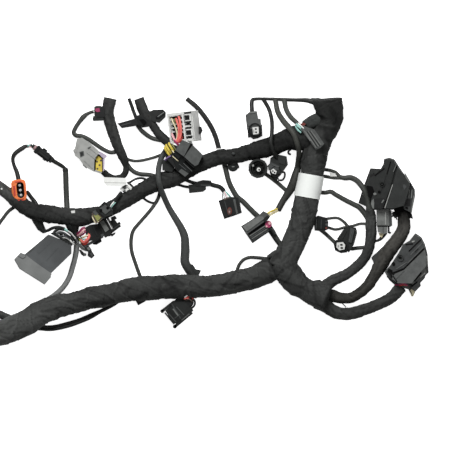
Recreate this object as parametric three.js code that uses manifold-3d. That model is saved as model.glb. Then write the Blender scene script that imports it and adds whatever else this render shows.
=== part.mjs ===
// A vehicle wiring harness laid out flat: taped trunks and limbs, thin leads, and the connectors on them.
// Plan tables are in plan units (x to the right, y down); one unit is UNIT millimetres. Heights are in millimetres.
import * as THREE from "three";
import { mergeVertices } from "three/addons/utils/BufferGeometryUtils.js";
import Module from "manifold-3d";

const UNIT = 1.2; // millimetres per plan unit
const PLAN_CENTRE = [226, 226]; // plan point that the layout is measured from
const ORIGIN = [-84.274, 3.426]; // millimetres: middle of the trunks' box, put at X = Y = 0
const GAP = 0.3; // clearance between pieces that meet
const TRUNK_SIDES = 12;
const LEAD_SIDES = 8;

const wasm = await Module();
wasm.setup();

// TABLE START
// Each route: plan x, plan y, width in plan units, and the height of its middle where it doesn't lie on the ground.
const ROUTES = {
  "trunk_lower": [[-30.1,337.9,22],[-14,336.7,23.6],[0,333.2,25],[12,329.2,25],[27,322.3,25.6],[40,313.2,25],[57,306.7,22.5],[67,304.5,21.5],[80,301,21],[90,298,22],[100,296.8,22],[110,294,20.5],[120,291.8,21.4],[130,289.7,23],[150,287.9,23.6],[168,287,24.6],[190,286.5,23.5],[207,286.7,21],[215,285.6,21.2],[230,283,22.2],[240,280.6,22.8],[250,278.6,22.2],[262,273.8,23],[272,268.4,25.4]],
  "trunk_riser": [[280.4,268,26.4],[283.2,262,25],[288.8,252,24],[294.8,241,23.6],[301.6,223,24.8],[304.8,208,25.4],[307.9,193.6,24],[310.8,183,22.6],[312.2,173,23],[314,158,26.2],[317,146,26],[321,136,25.4],[326,128,24.6],[329.5,119,25],[329,109.5,28],[327.8,103,29.4],[327.4,99.4,30]],
  "trunk_middle": [[-26,172,15],[-12,179.4,13],[0,187.6,12.2],[10,195.2,12.6],[20,203.6,14],[32,211,15.5],[42,213,17],[50,214.3,17.5],[63,216,16.5],[80,217,18],[90,215.3,16.8],[100,213.7,15.5],[110,209,15],[120,203.5,14.8],[130,197.5,14.5],[140,191.5,15],[150,186,16],[162,181.4,17.4],[175,177.2,16.6],[190,169.6,14.8],[205,162.4,14.4],[220,157.1,15],[235,156,15.4],[245,153.2,15.6],[255,150.9,17],[265,148.2,18.4],[275,144.9,19],[287,140,20.8],[298,138,26],[312,136,27]],
  "junction_wrap": [[278.4,263,25.4],[285,268.8,26.2],[296.2,283,24.4],[306.3,289.7,21.8],[317.6,294.7,24.6],[326.4,298.2,26.8]],
  "limb_upper_left": [[110.4,98.4,13],[107.9,111,12],[109.5,120.5,11.5],[113.2,133,11.2],[117.8,146,10],[121,153,9.6],[123.6,159,8.6],[126,166,6.4],[125.5,172,6.2],[121.5,177,6.2],[114,178,6],[107,175,6.2],[101,169.5,6,7]],
  "limb_upper_mid": [[138.9,98.4,10.4],[143.4,111,10.4],[147.2,117,10.4],[152,124,8.8],[157,131.5,8.5],[163,138,9],[169,143.5,9]],
  "limb_right_inner": [[318,293,13],[329,283.5,12],[334,280,11.5],[346,274.5,10.5],[355,268,10.5],[361,262.5,10.5],[366,255.5,10],[369.5,246,10],[371,236,11],[371,226,11.2],[370.8,216,10.2,7],[369.5,208,7.5,13]],
  "limb_ecu_a": [[324,293,12],[335,296.5,11.5],[342,298,10.5],[350.6,297.8,10.5],[359.4,293.2,10.6],[368,285.4,10.8],[374.6,275.4,11.6],[380.4,265.4,14.4],[386,255.4,15.2],[392.2,246.8,14.4],[399.4,237.2,13.6],[403.8,228,13,8],[403.8,219,12.4,9],[403.6,212,11,9]],
  "limb_ecu_b": [[318,301,17],[326,306,14],[334,311.5,13],[343,314,12.5],[352,313.2,11.8],[366,309,11.5],[380,303.5,11.5],[392,297,12],[401,287,12.5,9]],
  "limb_pigtail": [[35,213,11],[37,219,10.5],[40,226,8],[44.5,232,4.5]],
  "limb_fan": [[71,216,13],[72.5,225,13],[74,232,9],[75.5,240,8]],
  "header": [[320,104,7,16],[308,100.6,5,12],[296,100,3.8,7],[284,99.6,3.6,2.4],[272,99,3.2,2],[262,98.8,3],[252,98.8,3]],
  "conduit": [[67.5,214,5.8,9],[66.6,200,5.8],[66,185,5.8],[65.6,172,5.8],[64.2,167.6,5],[58,163.6,4.4,3.4],[51,159.5,4.4,4.5]],
  "lead_orange": [[32,145.2,2.6,5],[29,145.9,3,3.6],[25,146.5,4],[22.3,148.3,4.6],[17.4,151.5,4.6],[14.2,154.8,4.4],[12.8,158.8,3.8],[14,165,3.6],[16.8,172,4.4],[19.2,182,4.8,5]],
  "loop_upper_left": [[99,112.5,3.5,5],[93.8,111.6,3.2],[88,113.5,3.5],[83.6,116.7,5],[79,122.4,4.4],[75.3,128.2,4.3],[73.7,132.6,4.3],[76,135.4,4.5],[81,136,4.5],[87.4,138.6,4.5],[95,143.7,4.4],[103.4,149.3,4.2],[111,152.4,4.2],[119,151,4.2]],
  "lead_a": [[186.6,98.6,4.6],[196.8,107.2,5],[205,117.2,5],[211.4,127.4,5],[215.3,136.2,5],[218.2,146,5],[221,158,4.6]],
  "link_b": [[166.5,149,5,9],[163.4,154,5.5,8],[160.4,160.5,5.5,10],[158.6,168,5.6,17],[158.2,175,5.6,22.5],[159,182,5.6,23.5],[161.5,190.7,5.6,17],[168.8,207.2,6,4.5],[174.8,217.4,6.5],[180.6,227,7.2],[184.4,236.2,8.2],[185.2,250,8.9],[185,262,9.2],[188,268,9],[196.2,279.6,8,5]],
  "link_h": [[222,157,5],[224.6,165,5],[229,182,5.3],[233.4,191,5.3],[237.2,196.8,5.3],[243.2,201.7,5.3],[250.8,209.5,5.5],[257.3,215.9,5.5],[263.5,222.4,5.3],[271,229.3,5.3],[275.5,237,5.3],[284,250,5.3]],
  "link_k": [[160,188,3.2],[158.7,197,3.6],[154.2,205,3.6],[149.2,211.6,3.6],[141,221,3.6],[133.4,230.4,3.7],[131.3,238,3.8],[131.5,250,3.8],[136.4,266,3.8],[143,284,3.8]],
  "lead_c": [[262.4,98,3.8,2.6],[268.3,107.8,4],[270.8,115.4,4,5],[272,123.7,4,13],[271.8,133,4,24],[271,143,4,27.5],[273,151,4,23.5],[277,158,4.5,13]],
  "lead_d": [[275.2,99,5],[277.6,111.2,5.4,8],[283.1,120.6,5.8,19],[288.8,127.4,5.8,30],[294,134.5,5.4,35],[297.3,144,5.4,33],[299,152.5,5.4,23],[298.4,161,5.8,10],[297.6,168,7],[295.8,176,9],[293.1,184.4,9.4],[288.2,193,8],[282.6,201.6,6.8,5.5],[278,210,6.6,8.5]],
  "lead_e": [[284.2,99.4,5],[285.8,108.2,5,10],[290.4,116.6,5,24],[297,123,4.6,32.5],[303,129.5,4.2,33.5]],
  "lead_o": [[289,193,4,3.2],[284,188.5,4],[277,182.5,4],[268.5,176,4],[262,172,3.6]],
  "link_ij": [[318,228,3.8,5],[324,232.5,3.8],[334.6,242,3.8],[340,246,3.6,4]],
  "lead_oval": [[345,245,3.4,4],[350,248.5,3.8],[358,248,3.8],[370,246.5,3.8]],
  "loop_j1": [[236,276,3.5],[237.8,268,3.5],[240,263.4,3.5],[244.2,259.3,3.5],[250,257.4,3.5],[257,257.7,3.5],[263.3,258.3,3.5],[275,259,3.5]],
  "lead_m": [[76.5,237,5,4.5],[76.6,246,5.5],[75.2,257,5.5],[72.4,267.6,5.5],[69.6,276.5,5.5],[64,286,5.5],[55.5,294.5,5.6],[46,301,5.6],[40,305,5.6]],
  "lead_left": [[16,206,3.5,3],[8.3,211.5,3.5],[3.8,217.2,3.5],[0,222.3,3.5],[-4,229,3.5]],
  "lead_f1": [[369.5,209,6.5,13],[367.5,199,6,13],[364.5,190.5,5.8,13],[360.5,184.5,5.8,10],[356,180,5.8,4],[350.5,177.6,5.6],[344.6,178,5.2],[339,177,5],[330,174,5.6],[318,173,5.6]],
  "lead_f2": [[370,221,6.5],[364.4,213,5.8],[359.3,207.4,5.5],[352.3,203.6,5.2],[344.6,199.7,5],[335.7,194.6,4.8],[330.6,191.7,4.6],[325.5,192.7,4.2],[312,191.5,4]],
  "loop_lower": [[121,294,3.4],[118,301.4,3.4],[109,307.2,3.5],[100,311.8,3.5],[91,317.2,3.5],[80,322,3.5],[67,326.4,3.5],[51,329.4,3.5],[38,328.6,3.5]],
  "branch_a2": [[126,163,4.5],[133,171,4.5],[140,174,4.5],[149,174.8,4.5],[160,177.5,4.5]]
};
// TABLE END

// Each connector: the plan point of its local origin, the plan direction of its local x, its base height, a tilt that raises the x end (degrees), a roll that raises the +y side,
// a colour, and solids in local units: box x0,x1,y0,y1,z0,z1; post x,y,r,z0,z1; barrel along x x0,x1,y,z,r; or an outline in plan units with z0,z1. Sizes along x and y are in plan units.
const CONNECTORS = {
  orange_connector: { at: [19, 190.5], dir: [4.7, 20.6], z: 0, tilt: 0, colour: 0xe8784a,
    add: [["box", -10.5, 7.5, -6.5, 6.5, 0, 15], ["box", 7.3, 10.5, -5.6, 5.6, 9, 15]], cut: [["box", -8.6, 6.4, -1.4, 5.2, 6, 15.5]] },
  inline_plug: { at: [43, 153.6], dir: [0.8, 0.6], z: 0, colour: 0x1b1d1c,
    add: [["barrel", -13, -8, 0, 5, 2.6], ["box", -9, 9, -4.2, 3.6, 0, 9], ["box", -5, 8, -2.4, 2.4, 8.5, 12], ["box", 2, 12, -2.8, 2.8, 0.8, 8]], cut: [] },
  grey_connector: { at: [89.5, 155.6], dir: [0.77, 0.64], z: 0, colour: 0xa8a8a6,
    add: [["box", -13.5, 8, -11, 8, 0, 21], ["box", 7.8, 13, -10.4, 7.4, 1, 18], ["box", -15.5, -13, -7, 3.5, 2, 14]], cut: [["box", 9.2, 13.5, -8.6, 5.6, 4, 15]] },
  white_block: { at: [115.2, 181.8], dir: [1, 0], z: 7.6, colour: 0xe8e9e8,
    add: [["box", -11.8, 11.8, -4.4, 4.4, 0, 9]], cut: [] },
  upper_left_plug: { at: [98.6, 112.4], dir: [0.05, 1], z: 0, colour: 0x222423,
    add: [["box", -8.4, 8, -5, 5, 0, 12], ["box", -4, 5, -3, 5.8, 2, 14]], cut: [] },
  rack_connector: { at: [187.5, 126.5], dir: [0.085, 1], z: 6.2, roll: 23, colour: 0xb0b0ae,
    add: [["box", -15, 15.5, -12.5, 13, 0, 23]],
    cut: [["box", -12.4, -5.4, 5, 11.6, 8, 24], ["box", 5.6, 12.4, 5, 11.6, 8, 24], ["box", -12.4, 12.4, -10.5, 3.4, 14, 24]] },
  relay_connector: { at: [185.6, 158.6], dir: [0.81, 0.585], z: 19.8, colour: 0x2b2c2c,
    add: [["box", -12.5, 12.5, 1, 12, 0, 19], ["box", -12.5, 10.5, -9, 1.2, 0, 14], ["box", -7, 6, -13, -8.5, 1, 10]],
    cut: [["box", -10.5, -1, -7.4, -0.6, 6, 14.5], ["box", 1, 9, -7.4, -0.6, 6, 14.5]] },
  taped_plug: { at: [199, 186.6], dir: [1, 0.08], z: 0, colour: 0x1e1f1f,
    add: [["box", -10, 7, -6, 4.2, 0, 12], ["box", -8, 12.4, 0.6, 6, 3, 11]], cut: [] },
  bulb_plug: { at: [233, 166], dir: [1, 0], z: 0, colour: 0x202221,
    add: [["post", 0, 0, 5.8, 0, 10], ["box", -3, 3, -5, 1, 0, 13]], cut: [] },
  square_plug: { at: [230.8, 208.2], dir: [0.24, 0.97], z: 0, colour: 0x2a2a26,
    add: [["box", -10, 9.4, -9.6, 7.6, 0, 16], ["box", -11.4, -9, -8, 3, 3, 13]], cut: [["box", -4, 7, -4, 2, 12, 16.5]] },
  wide_plug: { at: [256.6, 227.2], dir: [0.83, -0.56], z: 7, colour: 0x474847,
    add: [["box", -13.5, 11, -0.6, 9.6, 0, 20], ["box", -13.5, 9.5, -10.5, -3, 0, 17], ["box", -12.5, 8.5, -4, 0, 0, 13], ["box", 10.6, 15, 2, 8, 3, 15]], cut: [] },
  round_socket: { at: [258.1, 168.4], dir: [1, 0], z: 0, colour: 0x1d1f1e,
    add: [["post", 0, 0, 9.6, 0, 17]], cut: [["post", 0, 0, 7.2, 6, 18]] },
  round_plug: { at: [279.5, 163.6], dir: [-0.55, 0.83], z: 0, colour: 0x262727,
    add: [["box", -5.5, 4, -6.2, 6.2, 0, 15], ["post", 8.6, 0, 5.6, 0, 13], ["box", 2, 8, -4.6, 4.6, 0, 13]], cut: [] },
  two_way_plug: { at: [253.6, 125.2], dir: [0.07, 1], z: 0, colour: 0x4d4f4e,
    add: [["box", -12.6, 1, -6.6, 6.6, 0, 16], ["box", -14.6, -12, -3.4, 3.8, 3, 12], ["box", 0.8, 13, -6.8, 7.4, 0, 18]], cut: [["box", 2.4, 10.8, -3.6, 5.6, 11, 18.5]] },
  ribbed_plug: { at: [311.4, 138.2], dir: [0.53, 0.85], z: 29, colour: 0x555655,
    add: [["box", -12, 12, -5.4, 5.4, 0, 10], ["box", -10, 10.5, -2.6, -0.9, 9.8, 11.6], ["box", -10, 10.5, 1.1, 2.8, 9.8, 11.6]], cut: [] },
  side_plug: { at: [320.5, 223.6], dir: [1, 0.12], z: 0, colour: 0x1c1d1d,
    add: [["box", -7.5, 6.8, -7.4, 7.4, 0, 14]], cut: [] },
  oval_plug: { at: [346.2, 237.4], dir: [-0.42, 0.9], z: 0, colour: 0x252625,
    add: [["box", -11.5, 4, -5.8, 5.8, 0, 14], ["box", 3.8, 12.8, -7.2, 7.2, 0, 17], ["box", -12, 2, -2.6, 2.6, 13.5, 17]], cut: [["box", 5, 11, -5, 5, 11, 17.5]] },
  light_grey_plug: { at: [384, 221], dir: [0, 1], z: 0, colour: 0x76787a,
    add: [["box", -9.8, 4.4, -7.6, 7.6, 0, 16], ["box", 4.2, 11.8, -4.6, 6.4, 2, 13], ["box", 4.2, 12, -6.2, -4.4, 2, 13]], cut: [] },
  ecu_connector_a: { at: [392, 186], dir: [1, 0], z: 0, colour: 0x333534,
    add: [["outline", [[364.5, 187], [370.3, 168.2], [380.8, 168.8], [384, 158.6], [389, 157.7], [395.5, 160.2], [401.2, 168.5], [410.8, 181.3], [414.6, 188.3], [415.3, 194.6], [412.5, 215], [404.5, 211.2], [392.9, 210.6], [376.4, 209.3], [366, 206.5], [358.8, 202.3]], 0, 8.6],
      ["outline", [[370.4, 186], [373.5, 171], [382, 170.6], [385, 159.6], [389, 158.6], [395.3, 161.4], [400.8, 169.4], [409.8, 182], [412, 190], [405, 208], [392.9, 209.6], [378, 208.6], [373.5, 202]], 8, 25],
      ["outline", [[386.5, 208], [398, 165.5], [409, 182.6], [404, 207]], 24.5, 30]], cut: [] },
  ecu_connector_b: { at: [408, 266], dir: [1, 0], z: 0, colour: 0x4a4b4b,
    add: [["outline", [[414.6, 233.1], [422.3, 237.9], [425.1, 244.2], [427.7, 255.1], [428.6, 272.9], [425.5, 275.5], [420.4, 283.1], [415.3, 290.8], [413.3, 296.5], [410.2, 293.3], [409.5, 289.5], [396, 285.7], [389.5, 280], [385.4, 273.4], [390.6, 266.4], [398.4, 254.6], [405.6, 244.8], [412, 239.6]], 0, 12],
      ["outline", [[415, 238], [421.5, 240], [424, 245], [426, 256], [426.4, 270], [412, 287.5], [397.5, 283.8], [391, 279], [388, 273.4], [393, 266.4], [400, 255.6], [407, 246.6]], 11.5, 25],
      ["outline", [[397, 279.5], [394.5, 273.6], [404, 269.4], [424, 249.4], [425, 268], [412, 283.4]], 24.5, 29]], cut: [] },
  housing: { at: [42.5, 259], dir: [-0.705, 0.709], z: 0, colour: 0x5a5c5d,
    add: [["outline", [[48.5, 234.4], [71.4, 244], [71.4, 253.5], [51, 273.4], [36, 266], [24.4, 254.4], [33.4, 247]], 0, 27],
      ["outline", [[14, 259.4], [20.6, 252.6], [24.6, 254], [37, 263.4], [51, 273.2], [50.8, 277.4], [44.5, 284.6], [19.4, 268.8]], 0, 28.5],
      ["outline", [[50.4, 233.4], [54, 231.8], [73.4, 242.8], [71, 246]], 3, 24]],
    cut: [["outline", [[15.6, 268.4], [26.8, 257], [37, 248.6], [57, 262], [48.6, 271], [36.4, 284], [20, 276]], 4.6, 23.6]] },
  small_low_plug: { at: [87.2, 251.8], dir: [0.72, 0.69], z: 0, colour: 0x2a2c2c,
    add: [["box", -9.5, 2, -4.4, 4.4, 0, 10], ["box", 1.8, 8.8, -4, 4, 1, 12]], cut: [] },
  red_wire_plug: { at: [101, 231.6], dir: [0.918, -0.397], z: 0, colour: 0x232524,
    add: [["box", -17, 1, -8.6, 8.2, 0, 16], ["box", 0.8, 11, -8.2, 7.6, 0, 18], ["box", 10.8, 18.6, -7.6, -3.4, 0, 14], ["box", 10.8, 18.6, 3, 7.2, 0, 14], ["box", 10.8, 15, -4, 4, 1, 12], ["box", -8, 6, -11.5, -8.2, 2, 9]], cut: [] },
  olive_plug: { at: [102.6, 211.2], dir: [-0.72, 0.69], z: 21.4, colour: 0x3a3b34,
    add: [["box", -9.4, 4.4, -6.6, 6.6, 0, 12], ["box", 4.2, 12.6, -4.8, 4.8, 0.5, 10]], cut: [] },
  lower_plug: { at: [178.4, 311.2], dir: [-0.78, 0.63], z: 0, colour: 0x262a28,
    add: [["box", -14, 8.6, -7.4, 7.4, 0, 17], ["box", -4, 12.6, -10.8, -8.4, 4, 14], ["box", -4, 14.6, 8.4, 10.8, 4, 14], ["box", -3, 1, -10.9, 10.9, 5, 13], ["box", 4, 6.4, -9, 9, 1, 19]], cut: [["box", 5, 9, -5.4, 5.4, 4, 13]] },
  edge_clip: { at: [126, 122.6], dir: [0.97, -0.24], z: 3, colour: 0x1a1b1b,
    add: [["box", -8.4, 9, -2.6, 2.6, 0, 8], ["box", -5, 9, -3.4, -2.4, 1, 7]], cut: [] },
  capped_ear: { at: [157.2, 116.6], dir: [1, -0.12], z: 0, colour: 0x1d1e1e,
    add: [["box", -9, 4, -6.4, 5.6, 0, 12], ["post", 4, -0.4, 5.4, 0, 13]], cut: [] }
};

// Nodes that keep their full shape where two meet come first; later ones are cut back by GAP.
const ORDER = ["trunk_riser", "trunk_lower", "trunk_middle", "junction_wrap", "limb_ecu_a", "limb_right_inner", "limb_ecu_b", "limb_upper_left", "limb_upper_mid", "limb_pigtail", "limb_fan"];

const toX = (x) => (x - PLAN_CENTRE[0]) * UNIT - ORIGIN[0];
const toY = (y) => (PLAN_CENTRE[1] - y) * UNIT - ORIGIN[1];

// A closed solid from a geometry, turned to face outwards.
function solidOf(geometry) {
  const bare = geometry.index ? geometry.toNonIndexed() : geometry.clone();
  bare.deleteAttribute("normal");
  bare.deleteAttribute("uv");
  const merged = mergeVertices(bare, 1e-4);
  const index = new Uint32Array(merged.index.array);
  const make = () => new wasm.Manifold(new wasm.Mesh({ numProp: 3, vertProperties: new Float32Array(merged.attributes.position.array), triVerts: index }));
  const first = make();
  if (first.volume() >= 0) return first;
  for (let i = 0; i < index.length; i += 3) [index[i + 1], index[i + 2]] = [index[i + 2], index[i + 1]];
  return make();
}

// A round bundle along a route, with its own radius at each point and a flat cap at each end.
function bundle(route, sides, grow) {
  const at = route.map(([x, y, w, z]) => new THREE.Vector3(toX(x), toY(y), z === undefined ? (w * UNIT) / 2 : z));
  const radii = route.map((p) => (p[2] * UNIT) / 2);
  const curve = new THREE.CatmullRomCurve3(at, false, "centripetal");
  const last = at.length - 1;
  const samples = [];
  for (let i = 0; i < last; i++) {
    const steps = Math.max(1, Math.round(at[i].distanceTo(at[i + 1]) / Math.max(7, 1.7 * radii[i])));
    for (let k = 0; k < steps; k++) samples.push(i + k / steps);
  }
  samples.push(last);
  const up = new THREE.Vector3(0, 0, 1);
  const positions = [];
  const index = [];
  samples.forEach((s) => {
    const t = s / last;
    const centre = curve.getPoint(t);
    const ahead = curve.getTangent(t);
    if (s === 0) centre.addScaledVector(ahead, -grow);
    if (s === last) centre.addScaledVector(ahead, grow);
    const across = new THREE.Vector3().crossVectors(up, ahead).normalize();
    const above = new THREE.Vector3().crossVectors(ahead, across).normalize();
    const i = Math.min(last - 1, Math.floor(s));
    const radius = THREE.MathUtils.lerp(radii[i], radii[i + 1], s - i) + grow;
    for (let j = 0; j < sides; j++) {
      const a = (j / sides) * 2 * Math.PI - Math.PI / 2;
      const p = centre.clone().addScaledVector(across, radius * Math.cos(a)).addScaledVector(above, radius * Math.sin(a));
      if (!grow) p.z = Math.max(p.z, 0);
      positions.push(p.x, p.y, p.z);
    }
  });
  for (let r = 0; r < samples.length - 1; r++)
    for (let j = 0; j < sides; j++) {
      const a = r * sides + j, b = r * sides + ((j + 1) % sides), c = a + sides, d = b + sides;
      index.push(a, b, d, a, d, c);
    }
  for (let j = 1; j < sides - 1; j++) {
    index.push(0, j + 1, j);
    const e = (samples.length - 1) * sides;
    index.push(e, e + j, e + j + 1);
  }
  const geometry = new THREE.BufferGeometry();
  geometry.setAttribute("position", new THREE.Float32BufferAttribute(positions, 3));
  geometry.setIndex(index);
  return solidOf(geometry);
}

// An outline moved outwards by grow, all round.
function outset(points, grow) {
  const area = THREE.ShapeUtils.area(points);
  const side = area > 0 ? 1 : -1;
  return points.map((p, i) => {
    const before = points[(i + points.length - 1) % points.length], after = points[(i + 1) % points.length];
    const a = p.clone().sub(before).normalize(), b = after.clone().sub(p).normalize();
    const n = new THREE.Vector2(a.y + b.y, -(a.x + b.x)).normalize();
    const stretch = Math.max(0.4, n.x * a.y - n.y * a.x);
    return p.clone().addScaledVector(n, (side * grow) / stretch);
  });
}

// One solid of a connector in its own frame, in millimetres.
function block(piece, grow) {
  const [kind, ...v] = piece;
  if (kind === "box") {
    const [x0, x1, y0, y1, z0, z1] = [v[0] * UNIT, v[1] * UNIT, v[2] * UNIT, v[3] * UNIT, v[4], v[5]];
    const g = new THREE.BoxGeometry(x1 - x0 + 2 * grow, y1 - y0 + 2 * grow, z1 - z0 + 2 * grow);
    return g.translate((x0 + x1) / 2, (y0 + y1) / 2, (z0 + z1) / 2);
  }
  if (kind === "post") {
    const [x, y, r, z0, z1] = v;
    const g = new THREE.CylinderGeometry(r * UNIT + grow, r * UNIT + grow, z1 - z0 + 2 * grow, 24);
    return g.rotateX(Math.PI / 2).translate(x * UNIT, y * UNIT, (z0 + z1) / 2);
  }
  if (kind === "barrel") {
    const [x0, x1, y, z, r] = v;
    const g = new THREE.CylinderGeometry(r * UNIT + grow, r * UNIT + grow, (x1 - x0) * UNIT + 2 * grow, 16);
    return g.rotateZ(Math.PI / 2).translate(((x0 + x1) / 2) * UNIT, y * UNIT, z);
  }
  const [points, z0, z1] = v;
  const shape = new THREE.Shape(outset(points.map(([x, y]) => new THREE.Vector2(toX(x), toY(y))), grow));
  return new THREE.ExtrudeGeometry(shape, { depth: z1 - z0 + 2 * grow, bevelEnabled: false, steps: 1 }).translate(0, 0, z0 - grow);
}

function connector(spec, grow) {
  const { at, dir, z, tilt = 0, roll = 0 } = spec;
  const place = new THREE.Matrix4().makeTranslation(toX(at[0]), toY(at[1]), z)
    .multiply(new THREE.Matrix4().makeRotationZ(Math.atan2(-dir[1], dir[0])))
    .multiply(new THREE.Matrix4().makeRotationY(-THREE.MathUtils.degToRad(tilt)))
    .multiply(new THREE.Matrix4().makeRotationX(THREE.MathUtils.degToRad(roll)));
  const put = (piece, g) => {
    const geometry = block(piece, g);
    return solidOf(piece[0] === "outline" ? geometry.translate(0, 0, z) : geometry.applyMatrix4(place));
  };
  let made = spec.add.map((p) => put(p, grow)).reduce((a, b) => a.add(b));
  if (!grow) for (const p of spec.cut) made = made.subtract(put(p, 0));
  return made;
}

// The label sleeve: a wide band wrapped round the riser trunk, open at both ends.
const SLEEVE_ROUTE = [[307, 197.4, 26.2, 14.2], [309.1, 187, 26, 14], [311.2, 176, 25.6, 13.8]];
const SLEEVE_WALL = 0.9;

const makers = {};
for (const [name, route] of Object.entries(ROUTES)) {
  const sides = name.startsWith("trunk") || name.startsWith("limb") || name === "junction_wrap" ? TRUNK_SIDES : LEAD_SIDES;
  makers[name] = (grow) => bundle(route, sides, grow);
}
for (const [name, spec] of Object.entries(CONNECTORS)) makers[name] = (grow) => connector(spec, grow);

const harness = new THREE.Group();
harness.name = "wiring_harness";
const TAPE = { color: 0x3a3b3a, roughness: 0.85, metalness: 0 };
const TUBE = { color: 0x2c2e2c, roughness: 0.55, metalness: 0 };

function addMesh(name, solid, material) {
  const m = solid.getMesh();
  const geometry = new THREE.BufferGeometry();
  geometry.setAttribute("position", new THREE.BufferAttribute(new Float32Array(m.vertProperties), 3));
  geometry.setIndex(new THREE.BufferAttribute(new Uint32Array(m.triVerts), 1));
  geometry.computeVertexNormals();
  const mesh = new THREE.Mesh(geometry, new THREE.MeshStandardMaterial(material));
  mesh.name = name;
  harness.add(mesh);
}

const names = [...ORDER, "label_sleeve", ...Object.keys(CONNECTORS), ...Object.keys(ROUTES).filter((n) => !ORDER.includes(n))];
const taken = []; // grown copies of what is already placed
for (const name of names) {
  let made;
  if (name === "label_sleeve") {
    made = bundle(SLEEVE_ROUTE, 24, 0).subtract(bundle(SLEEVE_ROUTE.map(([x, y, w, z]) => [x, y, w - (2 * SLEEVE_WALL) / UNIT, z]), 24, 0.4));
  } else made = makers[name](0);
  const whole = made.volume();
  for (const t of taken) made = made.subtract(t.solid);
  const bodies = made.decompose().filter((b) => b.volume() > 0).sort((a, b) => b.volume() - a.volume());
  made = bodies[0];
  const colour = CONNECTORS[name] ? { color: CONNECTORS[name].colour, roughness: 0.5, metalness: 0 } : name.startsWith("lead") || name.startsWith("link") || name === "conduit" ? TUBE : name === "label_sleeve" ? { color: 0xe8ebe9, roughness: 0.6, metalness: 0 } : TAPE;
  addMesh(name, made, colour);
  harness.userData[name] = { kept: made.volume() / whole, bodies: bodies.length };
  taken.push({ name, solid: name === "label_sleeve" ? bundle(SLEEVE_ROUTE, 24, GAP) : makers[name](GAP) });
}

export default harness;
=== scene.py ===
"""The looks of a wiring harness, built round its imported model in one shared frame."""
import json
import math
import random

import bmesh
import bpy
import numpy as np
from mathutils import Matrix, Vector, noise


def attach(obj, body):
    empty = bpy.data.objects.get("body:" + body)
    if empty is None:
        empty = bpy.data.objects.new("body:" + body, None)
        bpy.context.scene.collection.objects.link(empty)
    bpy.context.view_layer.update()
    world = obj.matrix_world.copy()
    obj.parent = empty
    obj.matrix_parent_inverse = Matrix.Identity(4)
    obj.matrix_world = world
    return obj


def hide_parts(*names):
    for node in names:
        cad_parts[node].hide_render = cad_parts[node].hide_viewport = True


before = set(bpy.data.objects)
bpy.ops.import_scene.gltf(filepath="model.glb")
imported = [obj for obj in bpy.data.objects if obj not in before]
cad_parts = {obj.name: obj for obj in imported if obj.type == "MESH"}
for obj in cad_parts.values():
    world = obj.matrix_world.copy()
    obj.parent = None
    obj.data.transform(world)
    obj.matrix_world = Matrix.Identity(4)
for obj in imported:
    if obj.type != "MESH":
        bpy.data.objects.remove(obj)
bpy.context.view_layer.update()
U = 0.0012  # metres in one plan unit
rng = random.Random(7)


def X(x):
    return (x - 226) * U + 0.084274


def Y(y):
    return (226 - y) * U - 0.003426


def srgb(h, k=1.0):
    c = [int(h[i : i + 2], 16) / 255 for i in (1, 3, 5)]
    return [*(k * (v / 12.92 if v <= 0.04045 else ((v + 0.055) / 1.055) ** 2.4) for v in c), 1.0]


def principled(name):
    m = bpy.data.materials.new(name)
    m.use_nodes = True
    nt = m.node_tree
    return m, nt, nt.nodes["Principled BSDF"]


def fibres(nt, scale, detail=3.0, stretch=(1, 1, 1)):
    tc = nt.nodes.new("ShaderNodeTexCoord")
    mp = nt.nodes.new("ShaderNodeMapping")
    mp.inputs["Scale"].default_value = stretch
    nz = nt.nodes.new("ShaderNodeTexNoise")
    nz.inputs["Scale"].default_value = scale
    nz.inputs["Detail"].default_value = detail
    nt.links.new(tc.outputs["Object"], mp.inputs["Vector"])
    nt.links.new(mp.outputs["Vector"], nz.inputs["Vector"])
    return nz.outputs["Fac"]


def bumped(nt, bsdf, fac, strength, distance):
    b = nt.nodes.new("ShaderNodeBump")
    b.inputs["Strength"].default_value = strength
    b.inputs["Distance"].default_value = distance
    nt.links.new(fac, b.inputs["Height"])
    nt.links.new(b.outputs["Normal"], bsdf.inputs["Normal"])


def two_tones(nt, fac, dark, light, lo=0.35, hi=0.65):
    r = nt.nodes.new("ShaderNodeValToRGB")
    r.color_ramp.elements[0].position, r.color_ramp.elements[1].position = lo, hi
    r.color_ramp.elements[0].color, r.color_ramp.elements[1].color = dark, light
    nt.links.new(fac, r.inputs["Fac"])
    return r.outputs["Color"]


def plastic(name, colour, rough=0.45, spec=0.35, mottle=0.16, scale=160.0, grain=0.12):
    m, nt, b = principled(name)
    nt.links.new(two_tones(nt, fibres(nt, scale, 4.0), srgb(colour, 1 - mottle), srgb(colour, 1 + mottle)), b.inputs["Base Color"])
    b.inputs["Roughness"].default_value = rough
    b.inputs["Specular IOR Level"].default_value = spec
    if grain:
        bumped(nt, b, fibres(nt, 2600.0, 2.0), grain, 0.00012)
    return m


def cloth(name, colour, rough=0.8, spec=0.1, weave=0.22, fine=0.1):
    """Cloth tape: its tone attribute carries the folds and the turns as painted shade and painted highlights, and the
    darker stretches along the route as painted shade.
    """
    m, nt, b = principled(name)
    at = nt.nodes.new("ShaderNodeAttribute")
    at.attribute_name = "tone"
    mix = nt.nodes.new("ShaderNodeMix")
    mix.data_type, mix.blend_type = "RGBA", "MULTIPLY"
    mix.inputs["Factor"].default_value = 1.0
    base = two_tones(nt, fibres(nt, 420.0, 5.0), srgb(colour, 1 - fine), srgb(colour, 1 + fine), 0.3, 0.7)
    nt.links.new(base, mix.inputs["A"])
    nt.links.new(at.outputs["Color"], mix.inputs["B"])
    nt.links.new(mix.outputs["Result"], b.inputs["Base Color"])
    b.inputs["Roughness"].default_value = rough
    b.inputs["Specular IOR Level"].default_value = spec
    bumped(nt, b, fibres(nt, 1300.0, 3.0), weave, 0.00025)
    return m


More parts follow.
